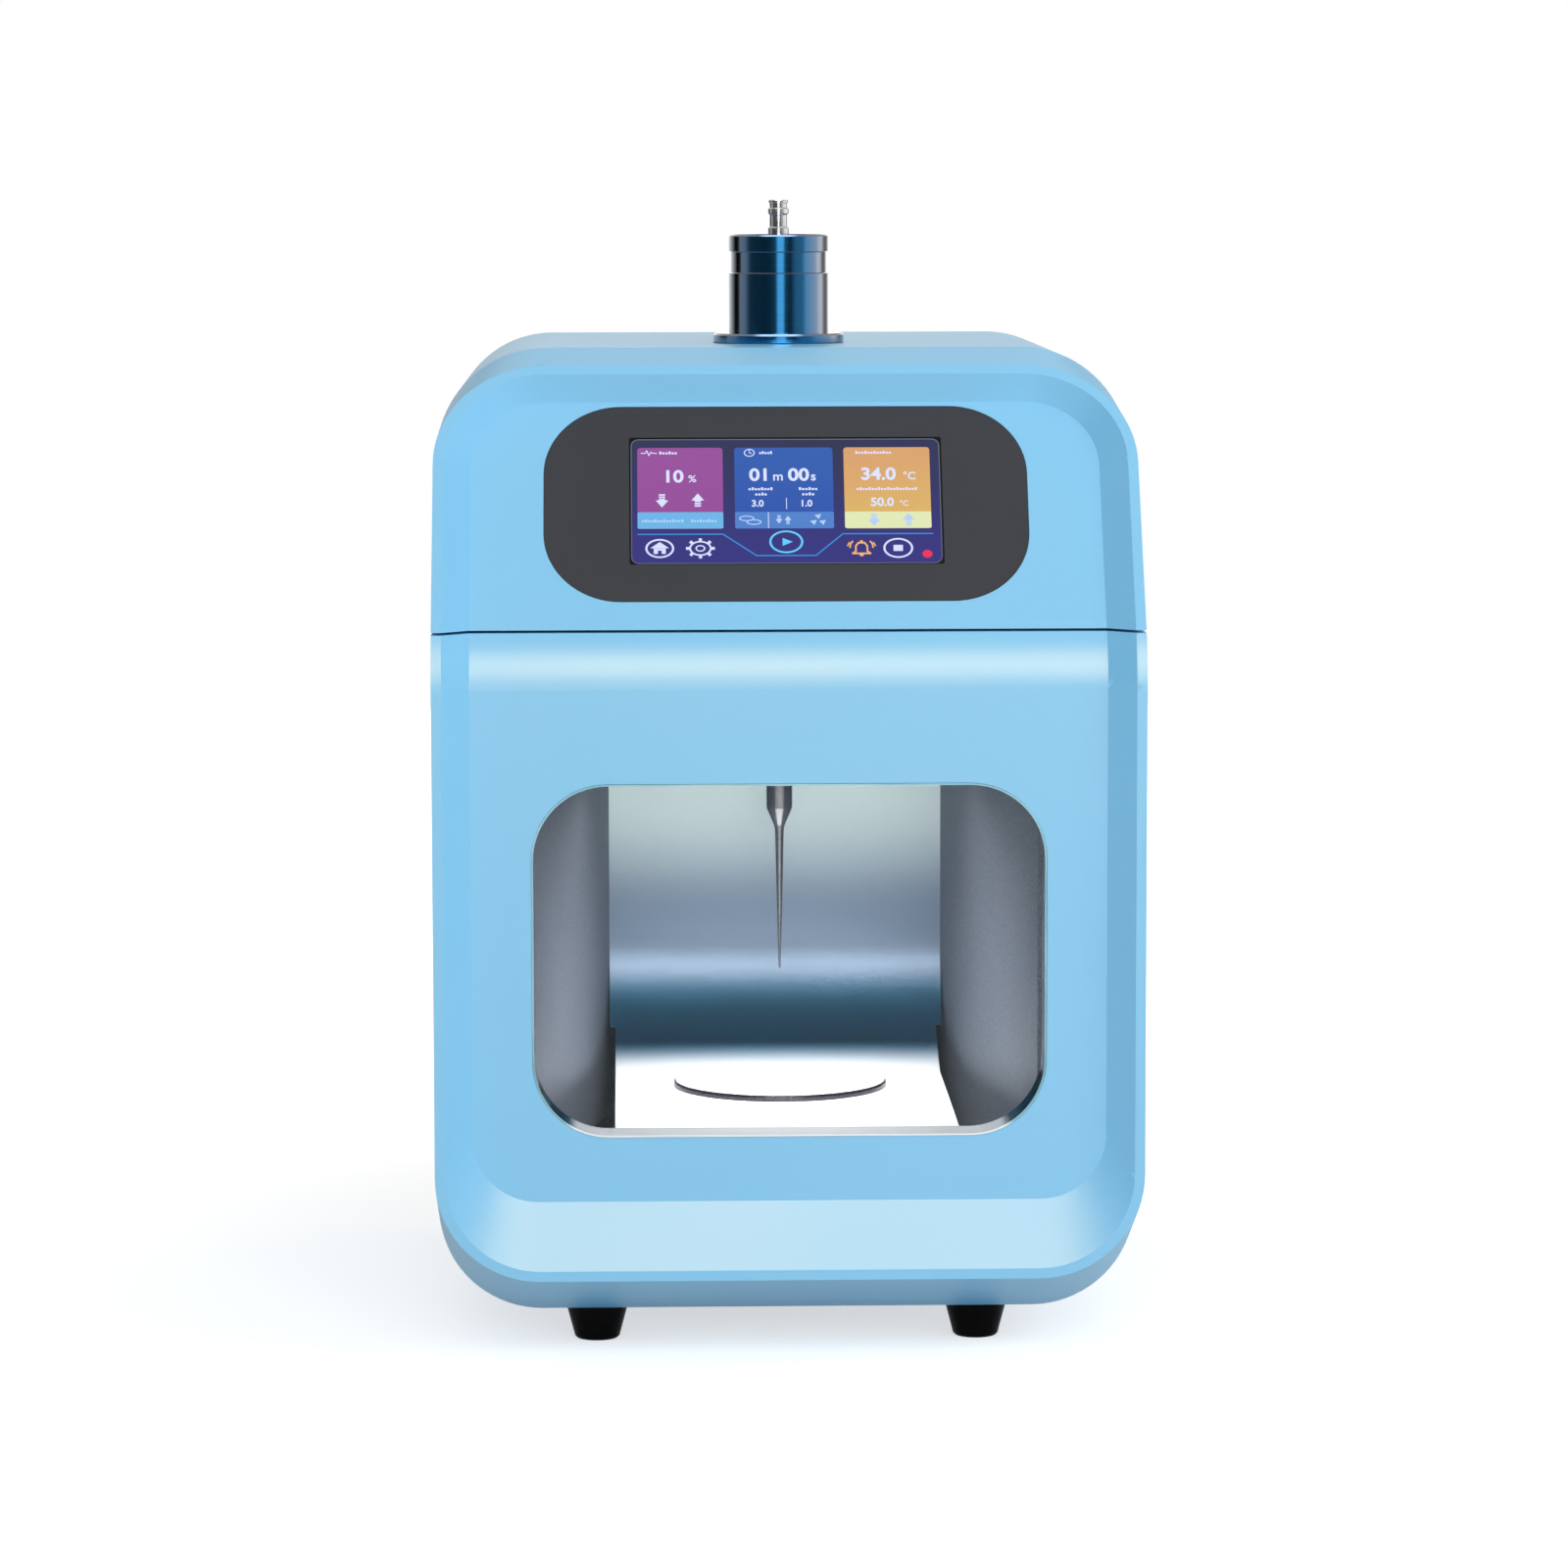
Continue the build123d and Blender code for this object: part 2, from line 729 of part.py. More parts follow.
def horn_seal():
    """A soft grommet in the roof plate round the tip's shank."""
    gap = tip_shank_radius + tip_clearance
    z = chamber_ceiling_z
    return turned([(gap, z - seal_thickness / 2), (seal_radius, z - seal_thickness / 2), (seal_radius, z),
                   (seal_radius - 2, z), (seal_radius - 2, z + sheet), (seal_radius, z + sheet),
                   (seal_radius, z + sheet + seal_thickness / 2), (gap, z + sheet + seal_thickness / 2)])


def sample_stage():
    """A raised disc on the tray; its rear edge dies into the sheet's bend."""
    disc = upright(0, stage_y, floor_z, floor_z + stage_height, stage_radius)
    disc = fillet(disc.edges().group_by(Axis.Z)[-1], stage_edge)
    bend_y = chamber_back - bend_radius
    behind = box(-half_width, half_width, bend_y, chamber_back, floor_z - 1, floor_z + bend_radius)
    return disc - (behind - along_x(bend_y, floor_z + bend_radius, -half_width, half_width, bend_radius))


def mount_sleeve():
    """The guide under the top cover that takes the converter."""
    inner = converter_radius + sleeve_clearance
    top = body_top - wall
    sleeve = turned([(inner, sleeve_bottom), (inner + sleeve_wall, sleeve_bottom),
                     (inner + sleeve_wall, top - sleeve_flange_thickness),
                     (sleeve_flange_radius, top - sleeve_flange_thickness), (sleeve_flange_radius, top),
                     (inner, top)])
    for x, y in sleeve_screw_points():
        sleeve = sleeve - upright(x, y, top - 10, top + 1, screw_radius)
    return sleeve


def sleeve_screw_points():
    return [(sleeve_bolt_circle * cos(radians(a)), sleeve_bolt_circle * sin(radians(a))) for a in (45, 135, 225, 315)]


def sleeve_screws():
    top = body_top - wall
    low = top - sleeve_flange_thickness
    screws = []
    for x, y in sleeve_screw_points():
        screws.append(upright(x, y, low - screw_head_height, low, screw_head_radius)
                      + upright(x, y, low, top, screw_radius - 0.05))
    return Compound(children=screws)


def converter_housing():
    """The blue tube with its collar, which rests on the top cover."""
    inner = converter_radius - converter_wall
    grooved = converter_radius - groove_depth
    collar_top = collar_bottom + collar_thickness
    edge = 0.8
    return turned([
        (inner, converter_bottom), (converter_radius, converter_bottom),
        (converter_radius, collar_bottom), (collar_radius - 0.4, collar_bottom),
        (collar_radius, collar_bottom + 0.4), (collar_radius, collar_top - edge),
        (collar_radius - edge, collar_top), (converter_radius, collar_top),
        (converter_radius, groove_bottom - 0.4), (grooved, groove_bottom), (grooved, groove_top),
        (converter_radius, groove_top + 0.4), (converter_radius, converter_top - 0.6),
        (converter_radius - 0.6, converter_top), (inner, converter_top)])


def converter_lid():
    inner = converter_radius - converter_wall - 0.02
    lid = upright(0, 0, converter_top - lid_thickness, converter_top - 0.4, inner)
    return lid - upright(0, 0, converter_top - 10, converter_top + 1, connector_radius)


def signal_connector():
    """A bayonet socket: barrel, two rings, open mouth."""
    low = converter_top - lid_thickness - 3
    base = converter_top - 0.4
    r, big = connector_radius, connector_ring_radius
    top = connector_top
    outline = [(0, low), (r + 2, low), (r + 2, low + 2.6), (r, low + 2.6), (r, base), (big, base), (big, base + 3),
               (r, base + 3.6), (r, top - 6.0), (big, top - 5.4), (big, top - 3.6), (r, top - 3.0),
               (r, top - 1.4), (big - 0.2, top - 1.0), (big - 0.2, top - 0.3), (big - 0.5, top),
               (connector_bore, top), (connector_bore, base + 2), (0, base + 2)]
    return turned(outline)


def connector_core():
    low = converter_top + 1.6
    return turned([(0, low), (connector_bore - 0.5, low), (connector_bore - 0.5, low + 5),
                   (connector_core_radius, low + 5), (connector_core_radius, connector_top - 2.5),
                   (0, connector_top - 2)])


stack_top = stack_bottom + disc_count * (disc_thickness + shim_thickness) + shim_thickness


def front_mass():
    low = stack_bottom - front_mass_height
    mass = turned([(0, low), (horn_top_radius, low), (horn_top_radius, low + 6), (converter_radius - converter_wall, low + 6),
                   (converter_radius - converter_wall, low + 10), (horn_top_radius, low + 10),
                   (disc_radius, stack_bottom), (0, stack_bottom)])
    return mass - upright(0, 0, stack_bottom - 18, stack_bottom + 1, stack_bolt_radius)


def piezo_discs():
    discs = []
    for k in range(disc_count):
        low = stack_bottom + shim_thickness + k * (disc_thickness + shim_thickness)
        discs.append(ring(0, 0, low, low + disc_thickness, disc_radius, disc_bore))
    return Compound(children=discs)


def electrode_shims():
    """Thin rings between the discs, each with a tab for its wire."""
    shims = []
    for k in range(disc_count + 1):
        low = stack_bottom + k * (disc_thickness + shim_thickness)
        side = 1 if k % 2 else -1
        shim = upright(0, 0, low, low + shim_thickness, disc_radius)
        x0, x1 = sorted((0, side * (disc_radius + 1.8)))
        shim = shim + box(x0, x1, -2, 2, low, low + shim_thickness)
        shims.append(shim - upright(0, 0, low - 1, low + 1, disc_bore))
    return Compound(children=shims)


def back_mass():
    return ring(0, 0, stack_top, stack_top + back_mass_height, disc_radius, stack_bolt_radius + 0.3)


def stack_bolt():
    top = stack_top + back_mass_height
    shank = upright(0, 0, stack_bottom - 17, top, stack_bolt_radius)
    head = extrude(Pos(0, 0, top) * RegularPolygon(7.5, 6), amount=7)
    socket = extrude(Pos(0, 0, top + 3) * RegularPolygon(3.4, 6), amount=5)
    return shank + head - socket


def booster_horn():
    """The horn: a thick upper half, a smooth step and a thin lower half."""
    top = stack_bottom - front_mass_height
    step = horn_step_z
    steps = 8
    throat = [(horn_end_radius + (horn_top_radius - horn_end_radius) * (1 - sin(k * pi / 2 / steps)),
               step - 18 * (1 - cos(k * pi / 2 / steps))) for k in range(steps + 1)]
    points = [(0, horn_bottom), (horn_end_radius, horn_bottom)] + throat[::-1] + [(horn_top_radius, top), (0, top)]
    horn = turned(points)
    return horn - upright(0, 0, horn_bottom - 1, horn_bottom + tip_stud_length, tip_stud_radius)


def micro_tip():
    """The needle tip, with its shank and the stud that screws into the horn."""
    stud_top = horn_bottom + tip_stud_length - 1
    flats_z = horn_bottom - 8
    tip = turned([(0, tip_end_z), (tip_end_radius * 0.6, tip_end_z), (tip_end_radius, tip_end_z + 0.4),
                  (tip_root_radius, tip_root_z), (tip_neck_radius, tip_neck_z),
                  (tip_shank_radius, tip_shoulder_z), (tip_shank_radius, horn_bottom),
                  (tip_stud_radius - 0.05, horn_bottom), (tip_stud_radius - 0.05, stud_top), (0, stud_top)])
    for side in (-1, 1):
        tip = tip - box(-8, 8, *sorted((side * 4.5, side * 8)), flats_z - 4, flats_z + 4)
    return tip


def base_plate():
    plate = box(-base_half_width, base_half_width, base_front, base_back, body_bottom + wall,
                body_bottom + wall + base_thickness)
    for x, y in foot_points():
        plate = plate - upright(x, y, 0, 40, foot_screw_radius + 0.2)
    return plate


def rubber_feet():
    feet = []
    for x, y in foot_points():
        low, high = foot_bottom_radius, foot_top_radius
        outline = [(foot_screw_radius + 0.2, foot_height), (foot_screw_radius + 0.2, foot_counterbore),
                   (foot_counterbore, foot_counterbore), (foot_counterbore, 0), (low - 0.8, 0), (low, 0.8),
                   (high - 0.9, foot_height - foot_flare), (high, foot_height)]
        feet.append(Pos(x, y, 0) * turned(outline))
    return Compound(children=feet)


def foot_screws():
    screws = []
    top = body_bottom + wall + base_thickness
    for x, y in foot_points():
        screw = upright(x, y, foot_counterbore - 2.4, foot_counterbore, foot_screw_head)
        screw = screw + upright(x, y, foot_counterbore, top + 4, foot_screw_radius)
        nut = extrude(Pos(x, y, top) * RegularPolygon(4.0, 6), amount=3.2)
        screws.append(screw + nut)
    return Compound(children=screws)


def rear_panel():
    """The steel back plate with its vents and the cut-outs it carries."""
    plate = housing_block(wall + panel_clearance, panel_front_y, panel_rear_y)
    for x, z in panel_screw_points():
        plate = plate - along_y(x, z, panel_front_y - 1, panel_rear_y + 1, screw_radius + 0.2)
    plate = plate - along_y(fan_x, fan_z, panel_front_y - 1, panel_rear_y + 1, fan_bore)
    for x, z in fan_screw_points():
        plate = plate - along_y(x, z, panel_front_y - 1, panel_rear_y + 1, screw_radius + 0.1)
    for k in range(vent_slots):
        z = vent_z + (k - (vent_slots - 1) / 2) * vent_pitch
        plate = plate - box(vent_x - vent_length / 2, vent_x + vent_length / 2, panel_front_y - 1, panel_rear_y + 1,
                            z - vent_width / 2, z + vent_width / 2)
    plate = plate - panel_cut(inlet_x, inlet_z, inlet_block[0] + 0.4, inlet_block[1] + 0.4)
    plate = plate - panel_cut(switch_x, switch_z, switch_body[0] + 0.4, switch_body[2] + 0.4)
    return plate


def panel_cut(x, z, width, height):
    return box(x - width / 2, x + width / 2, panel_front_y - 1, panel_rear_y + 1, z - height / 2, z + height / 2)


def fan_screw_points():
    half = fan_hole_pitch / 2
    return [(fan_x + dx * half, fan_z + dz * half) for dx in (-1, 1) for dz in (-1, 1)]


def rear_screws():
    screws = []
    for x, z in panel_screw_points():
        screws.append(along_y(x, z, panel_rear_y, panel_rear_y + screw_head_height, screw_head_radius)
                      + along_y(x, z, panel_front_y - screw_length + 1, panel_rear_y, screw_radius - 0.05))
    return Compound(children=screws)


def fan_frame():
    y0, y1 = panel_front_y - fan_depth, panel_front_y
    frame = Pos(fan_x, (y0 + y1) / 2, fan_z) * Rot(90, 0, 0) * extrude(
        RectangleRounded(fan_size, fan_size, 4), amount=fan_depth / 2, both=True)
    frame = frame - along_y(fan_x, fan_z, y0 - 1, y1 + 1, fan_bore)
    # The corners are hollow between two flanges.
    for x, z in fan_screw_points():
        frame = frame - along_y(x, z, y0 - 1, y1 + 1, screw_radius + 0.1)
    hub = along_y(fan_x, fan_z, y0, y0 + 3, fan_hub)
    arms = None
    for angle in (45, 135):
        arm = Pos(fan_x, y0 + 1.5, fan_z) * Rot(0, angle, 0) * Box(2 * fan_bore + 4, 3, 5)
        arms = arm if arms is None else arms + arm
    stub = along_y(fan_x, fan_z, y0 + 3, y0 + 9, 2.0)
    return frame + hub + (arms & along_y(fan_x, fan_z, y0, y1, fan_bore + 1)) + stub


def fan_rotor():
    """The fan's hub and its pitched blades."""
    y0, y1 = panel_front_y - fan_depth + 4, panel_front_y - 2
    rotor = along_y(fan_x, fan_z, y0, y1, fan_hub)
    blade_reach = fan_bore - 1.2
    for k in range(fan_blades):
        blade = Pos(0, 0, (fan_hub + blade_reach) / 2) * Rot(0, 0, 38) * Box(1.6, 20, blade_reach - fan_hub + 2)
        turn = Rot(0, k * 360 / fan_blades, 0)
        rotor = rotor + Pos(fan_x, (y0 + y1) / 2, fan_z) * turn * blade
    rotor = rotor & along_y(fan_x, fan_z, y0, y1, blade_reach)
    return rotor - along_y(fan_x, fan_z, y0 - 1, y0 + 6, 2.05)


def fan_guard():
    """A wire guard over the fan, held by the fan's four screws."""
    y0 = panel_rear_y
    guard = None
    for radius in guard_rings:
        wire = Pos(fan_x, y0 + guard_wire / 2, fan_z) * Rot(90, 0, 0) * (
            Cylinder(radius + guard_wire / 2, guard_wire) - Cylinder(radius - guard_wire / 2, guard_wire + 1))
        guard = wire if guard is None else guard + wire
    reach = fan_hole_pitch * sqrt(2) + 4
    for angle in (45, 135):
        guard = guard + Pos(fan_x, y0 + guard_wire / 2, fan_z) * Rot(0, angle, 0) * Box(reach, guard_wire, 2.4)
    for x, z in fan_screw_points():
        guard = guard + along_y(x, z, y0, y0 + guard_wire, 4.2)
    for x, z in fan_screw_points():
        guard = guard - along_y(x, z, y0 - 1, y0 + guard_wire + 1, screw_radius + 0.1)
    return guard


def fan_screws():
    screws = []
    for x, z in fan_screw_points():
        y0 = panel_rear_y + guard_wire
        screws.append(along_y(x, z, y0, y0 + screw_head_height, screw_head_radius)
                      + along_y(x, z, panel_front_y - fan_depth + 4, y0, screw_radius - 0.05))
    return Compound(children=screws)


def inlet_part(x, z, width, height, y0, y1):
    """A block of the inlet, placed from the inlet's centre."""
    x, z = inlet_x + x, inlet_z + z
    return box(x - width / 2, x + width / 2, y0, y1, z - height / 2, z + height / 2)


def power_inlet():
    """The mains inlet: a flange, a shrouded socket and the fuse drawer's slot."""
    face = panel_rear_y + inlet_flange[2]
    inlet = inlet_part(0, 0, inlet_flange[0], inlet_flange[1], panel_rear_y, face)
    inlet = inlet + inlet_part(0, 0, inlet_block[0], inlet_block[1], panel_rear_y - inlet_block[2], panel_rear_y)
    cavity = inlet_part(0, -socket_drop, socket_size[0], socket_size[1], face - socket_size[2], face + 1)
    corners = cavity.edges().filter_by(Axis.Y).group_by(Axis.Z)[-1]
    inlet = inlet - chamfer(corners, 4.0)
    slot = drawer_clearance * 2
    return inlet - inlet_part(0, drawer_rise, drawer_size[0] + slot, drawer_size[2] + slot,
                              face - drawer_size[1] - 1, face + 1)


def inlet_blades():
    """The three blades of the socket, standing on its floor."""
    y0 = panel_rear_y + inlet_flange[2] - socket_size[2]
    width, length, height = blade_size
    blades = [inlet_part(x, -socket_drop + z, width, height, y0, y0 + length)
              for x, z in ((-blade_spread, -blade_step), (0, blade_step), (blade_spread, -blade_step))]
    return Compound(children=blades)


def fuse_drawer():
    """A small drawer with a finger lip and a channel for the fuse."""
    face = panel_rear_y + inlet_flange[2]
    drawer = inlet_part(0, drawer_rise, drawer_size[0], drawer_size[2], face - drawer_size[1], face)
    lip = inlet_part(0, drawer_rise, drawer_size[0] + 2, drawer_size[2] + 1, face + 0.2, face + 0.2 + drawer_lip)
    neck = inlet_part(0, drawer_rise, drawer_size[0] - 1, drawer_size[2] - 1, face, face + 0.2)
    channel = inlet_part(0, drawer_rise + 1, drawer_size[0] - 3, drawer_size[2] - 2,
                         face - drawer_size[1] + 2, face - 3)
    return drawer + neck + lip - channel


def switch_part(x, z, width, height, y0, y1):
    return box(switch_x + x - width / 2, switch_x + x + width / 2, y0, y1,
               switch_z + z - height / 2, switch_z + z + height / 2)


def switch_frame():
    """The power switch's body, open at the back for its rocker."""
    width, depth, height = switch_body
    face = panel_rear_y + switch_flange[2]
    frame = switch_part(0, 0, switch_flange[0], switch_flange[1], panel_rear_y, face)
    frame = frame + switch_part(0, 0, width, height, panel_rear_y - depth, panel_rear_y)
    frame = frame - switch_part(0, 0, width - 3, height - 2.4, face - 9, face + 1)
    return frame - upright(switch_x, face - rocker_sink, switch_z - height / 2 + 0.4, switch_z + height / 2 - 0.4,
                           rocker_axle + 0.05)


def switch_rocker():
    """A rocker pressed in at one end; it tips about its middle."""
    width, _, height = switch_body
    face = panel_rear_y + switch_flange[2]
    half, tall = width / 2 - 2.2, height - 3.2
    tip = radians(rocker_tilt)
    points = [(-half, face - 2.4), (-half, face + 0.2), (0, face + 0.9), (half, face + 0.2), (half, face - 2.4),
              (2, face - 5), (-2, face - 5)]
    pivot = face - rocker_sink
    points = [(x * cos(tip) - (y - pivot) * sin(tip), pivot + x * sin(tip) + (y - pivot) * cos(tip))
              for x, y in points]
    outline = Pos(switch_x, 0, switch_z - tall / 2) * make_face(Polyline(*points, close=True))
    axle = upright(switch_x, pivot, switch_z - height / 2 + 0.6, switch_z + height / 2 - 0.6, rocker_axle)
    return extrude(outline, amount=tall) + axle


def temperature_jack():
    """A round socket in the left wall for a temperature probe."""
    x0 = -half_width - jack_proud
    barrel = along_x(jack_y, jack_z, x0, x0 + jack_length, jack_radius)
    flange = along_x(jack_y, jack_z, x0, -half_width, jack_radius + 1.6)
    return barrel + flange - along_x(jack_y, jack_z, x0 - 1, x0 + jack_length - 2, jack_bore)


def jack_nut():
    x0 = -half_width + wall
    nut = Pos(x0, jack_y, jack_z) * Rot(0, 90, 0) * extrude(RegularPolygon(6.4, 6), amount=2.6)
    return nut - along_x(jack_y, jack_z, x0 - 1, x0 + 5, jack_radius + 0.02)


def magnet_catch():
    """The magnet in its holder behind the bulkhead's face."""
    width, height = strike_size
    y1 = bulkhead_y + bulkhead_thickness
    return box(catch_x - width / 2, catch_x + width / 2, y1, y1 + magnet_depth, catch_z - height / 2, catch_z + height / 2)


def hinge_pins():
    pins = []
    for level in knuckle_levels:
        low = level - knuckle_gap - boss_height + 0.5
        high = level + knuckle_height + knuckle_gap + boss_height - 0.5
        pins.append(hinge_point_at(hinge_pin_radius, low, high))
    return Compound(children=pins)


deck = body_bottom + wall + base_thickness


def toroid_transformer():
    core = ring(toroid_x, toroid_y, deck, deck + toroid_height, toroid_outer, toroid_inner)
    return fillet(core.edges().filter_by(GeomType.CIRCLE), toroid_edge)


def transformer_clamp():
    """The dished washer and bolt that hold the transformer down."""
    top = deck + toroid_height
    washer = upright(toroid_x, toroid_y, top, top + clamp_thickness, clamp_radius)
    bolt = upright(toroid_x, toroid_y, deck, top + clamp_thickness, 3.0)
    head = extrude(Pos(toroid_x, toroid_y, top + clamp_thickness) * RegularPolygon(6, 6), amount=4.5)
    return washer + bolt + head


def generator_corners():
    half_x, half_y = generator_size[0] / 2 - 6, generator_size[1] / 2 - 6
    return [(generator_x + dx * half_x, generator_y + dy * half_y) for dx in (-1, 1) for dy in (-1, 1)]


def board_standoffs():
    return Compound(children=[upright(x, y, deck, deck + standoff_height, standoff_radius)
                              for x, y in generator_corners()])


def generator_board():
    width, length, thick = generator_size
    z0 = deck + standoff_height
    board = box(generator_x - width / 2, generator_x + width / 2, generator_y - length / 2, generator_y + length / 2,
                z0, z0 + thick)
    return board


def board_components():
    """Reservoir capacitors, a coil and a relay, standing on the board."""
    z0 = deck + standoff_height + generator_size[2]
    parts = [upright(generator_x - 22, generator_y - 50 + k * 24, z0, z0 + capacitor_height, capacitor_radius)
             for k in range(3)]
    parts.append(ring(generator_x - 18, generator_y + 46, z0, z0 + 12, 14, 6))
    parts.append(box(generator_x + 8, generator_x + 28, generator_y + 40, generator_y + 56, z0, z0 + 18))
    return Compound(children=parts)


def heat_sink():
    """A finned block for the power stage."""
    width, length, height = sink_size
    z0 = deck + standoff_height + generator_size[2]
    x0 = generator_x + 12
    y0 = generator_y - 66
    sink = box(x0, x0 + width, y0, y0 + length, z0, z0 + 5)
    for k in range(sink_fins):
        x = x0 + k * (width - 1.6) / (sink_fins - 1)
        sink = sink + box(x, x + 1.6, y0, y0 + length, z0 + 4, z0 + height)
    return sink


rear_body = rear_shell()
save("left_housing", side_housing(-1))
save("right_housing", side_housing(1))
save("top_housing", top_housing())
save("head_deck", head_deck())
save("head_cover", head_cover())
save("bezel_panel", bezel_panel())
save("touch_glass", touch_glass())
save("display_module", display_module())
save("control_board", control_board())
save("front_bulkhead", front_bulkhead())
save("chamber_back_sheet", chamber_back_sheet())
save("chamber_side_left", chamber_side(-1))
save("chamber_side_right", chamber_side(1))
save("chamber_ceiling", chamber_ceiling())
save("horn_seal", horn_seal())
save("sample_stage", sample_stage())
save("mount_sleeve", mount_sleeve())
save("sleeve_screws", sleeve_screws())
save("base_plate", base_plate())
save("rubber_feet", rubber_feet())
save("foot_screws", foot_screws())
save("rear_panel", rear_panel())
save("rear_screws", rear_screws())
save("fan_frame", fan_frame())
save("fan_rotor", fan_rotor())
save("fan_guard", fan_guard())
save("fan_screws", fan_screws())
save("power_inlet", power_inlet())
save("inlet_blades", inlet_blades())
save("fuse_drawer", fuse_drawer())
save("switch_frame", switch_frame())
save("switch_rocker", switch_rocker())
save("temperature_jack", temperature_jack())
save("jack_nut", jack_nut())
save("magnet_catch", magnet_catch())
save("hinge_pins", hinge_pins())
save("toroid_transformer", toroid_transformer())
save("transformer_clamp", transformer_clamp())
save("generator_board", generator_board())
save("board_components", board_components())
save("board_standoffs", board_standoffs())
save("heat_sink", heat_sink())
save("door_shell", door_shell())
save("window_trim", window_trim())
save("window_pane", window_pane())
save("door_liner", door_liner())
save("door_gasket", door_gasket())
save("hinge_bushes", hinge_bushes())
save("strike_plate", strike_plate())
save("converter_housing", converter_housing())
save("converter_lid", converter_lid())
save("signal_connector", signal_connector())
save("connector_core", connector_core())
save("piezo_discs", piezo_discs())
save("electrode_shims", electrode_shims())
save("front_mass", front_mass())
save("back_mass", back_mass())
save("stack_bolt", stack_bolt())
save("booster_horn", booster_horn())
save("micro_tip", micro_tip())
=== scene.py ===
import bmesh
import bpy
import json
import math
from mathutils import Matrix, Vector


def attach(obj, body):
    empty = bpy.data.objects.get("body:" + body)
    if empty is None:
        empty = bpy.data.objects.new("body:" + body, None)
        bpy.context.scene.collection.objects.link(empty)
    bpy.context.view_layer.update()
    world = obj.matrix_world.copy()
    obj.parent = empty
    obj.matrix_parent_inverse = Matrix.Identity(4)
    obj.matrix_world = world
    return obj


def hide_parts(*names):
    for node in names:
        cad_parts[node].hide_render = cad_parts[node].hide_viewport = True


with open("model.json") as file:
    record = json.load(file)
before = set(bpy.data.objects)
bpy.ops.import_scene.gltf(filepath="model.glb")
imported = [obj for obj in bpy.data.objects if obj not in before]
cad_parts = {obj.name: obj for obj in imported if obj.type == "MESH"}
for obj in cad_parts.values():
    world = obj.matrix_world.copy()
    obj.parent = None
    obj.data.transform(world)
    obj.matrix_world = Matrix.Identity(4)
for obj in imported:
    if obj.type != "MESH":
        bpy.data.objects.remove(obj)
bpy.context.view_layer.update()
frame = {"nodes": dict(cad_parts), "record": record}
nodes = frame["nodes"]
mm = 0.001
print("frame loaded:", len(nodes), "nodes")

# Camera
camera = {"place": (-0.061686, -2.245762, 0.452946), "yaw": 1.622, "pitch": 6.239, "roll": -0.0996,
          "lens": 128.65, "sensor": 36.0}


def makeCamera(spec):
    yaw, pitch, roll = (math.radians(spec[key]) for key in ("yaw", "pitch", "roll"))
    ahead = Vector((math.sin(yaw) * math.cos(pitch), math.cos(yaw) * math.cos(pitch), -math.sin(pitch)))
    level = Vector((math.cos(yaw), -math.sin(yaw), 0))
    up = level.cross(ahead)
    right = level * math.cos(roll) + up * math.sin(roll)
    up = up * math.cos(roll) - level * math.sin(roll)
    data = bpy.data.cameras.new("photoCamera")
    data.lens, data.sensor_width = spec["lens"], spec["sensor"]
    data.clip_start, data.clip_end = 0.05, 60
    eye = bpy.data.objects.new("photoCamera", data)
    turn = Matrix((right, up, -ahead)).transposed()
    eye.matrix_world = Matrix.Translation(spec["place"]) @ turn.to_4x4()
    bpy.context.scene.collection.objects.link(eye)
    bpy.context.scene.camera = eye


makeCamera(camera)
print("camera placed")


# Shader groups
def addNode(tree, kind, inputs=None, **settings):
    node = tree.nodes.new(kind)
    for key, value in settings.items():
        setattr(node, key, value)
    for key, value in (inputs or {}).items():
        if isinstance(value, bpy.types.NodeSocket):
            tree.links.new(value, node.inputs[key])
        else:
            node.inputs[key].default_value = value
    return node


def newGroup(name, values, results):
    tree = bpy.data.node_groups.new(name, "ShaderNodeTree")
    for key, value in values.items():
        tree.interface.new_socket(name=key, in_out="INPUT", socket_type="NodeSocketFloat").default_value = value
    for key in results:
        tree.interface.new_socket(name=key, in_out="OUTPUT", socket_type="NodeSocketFloat")
    return tree, addNode(tree, "NodeGroupInput"), addNode(tree, "NodeGroupOutput")


# A noise value stretched so that it fills 0 to 1
def spread(tree, source, low, high):
    return addNode(tree, "ShaderNodeMapRange", {"Value": source, "From Min": low, "From Max": high}).outputs[0]


# Even moulded or blasted grain, with a broad drift of tone
def makeGrain():
    tree, given, result = newGroup("mouldedGrain", {"Fine": 900.0, "Broad": 8.0}, ("Height", "Tone"))
    place = addNode(tree, "ShaderNodeTexCoord").outputs["Object"]
    fine = addNode(tree, "ShaderNodeTexNoise", {"Vector": place, "Scale": given.outputs["Fine"], "Detail": 3.0})
    broad = addNode(tree, "ShaderNodeTexNoise", {"Vector": place, "Scale": given.outputs["Broad"], "Detail": 4.0})
    tree.links.new(fine.outputs["Fac"], result.inputs["Height"])
    tree.links.new(spread(tree, broad.outputs["Fac"], 0.3, 0.7), result.inputs["Tone"])
    return tree


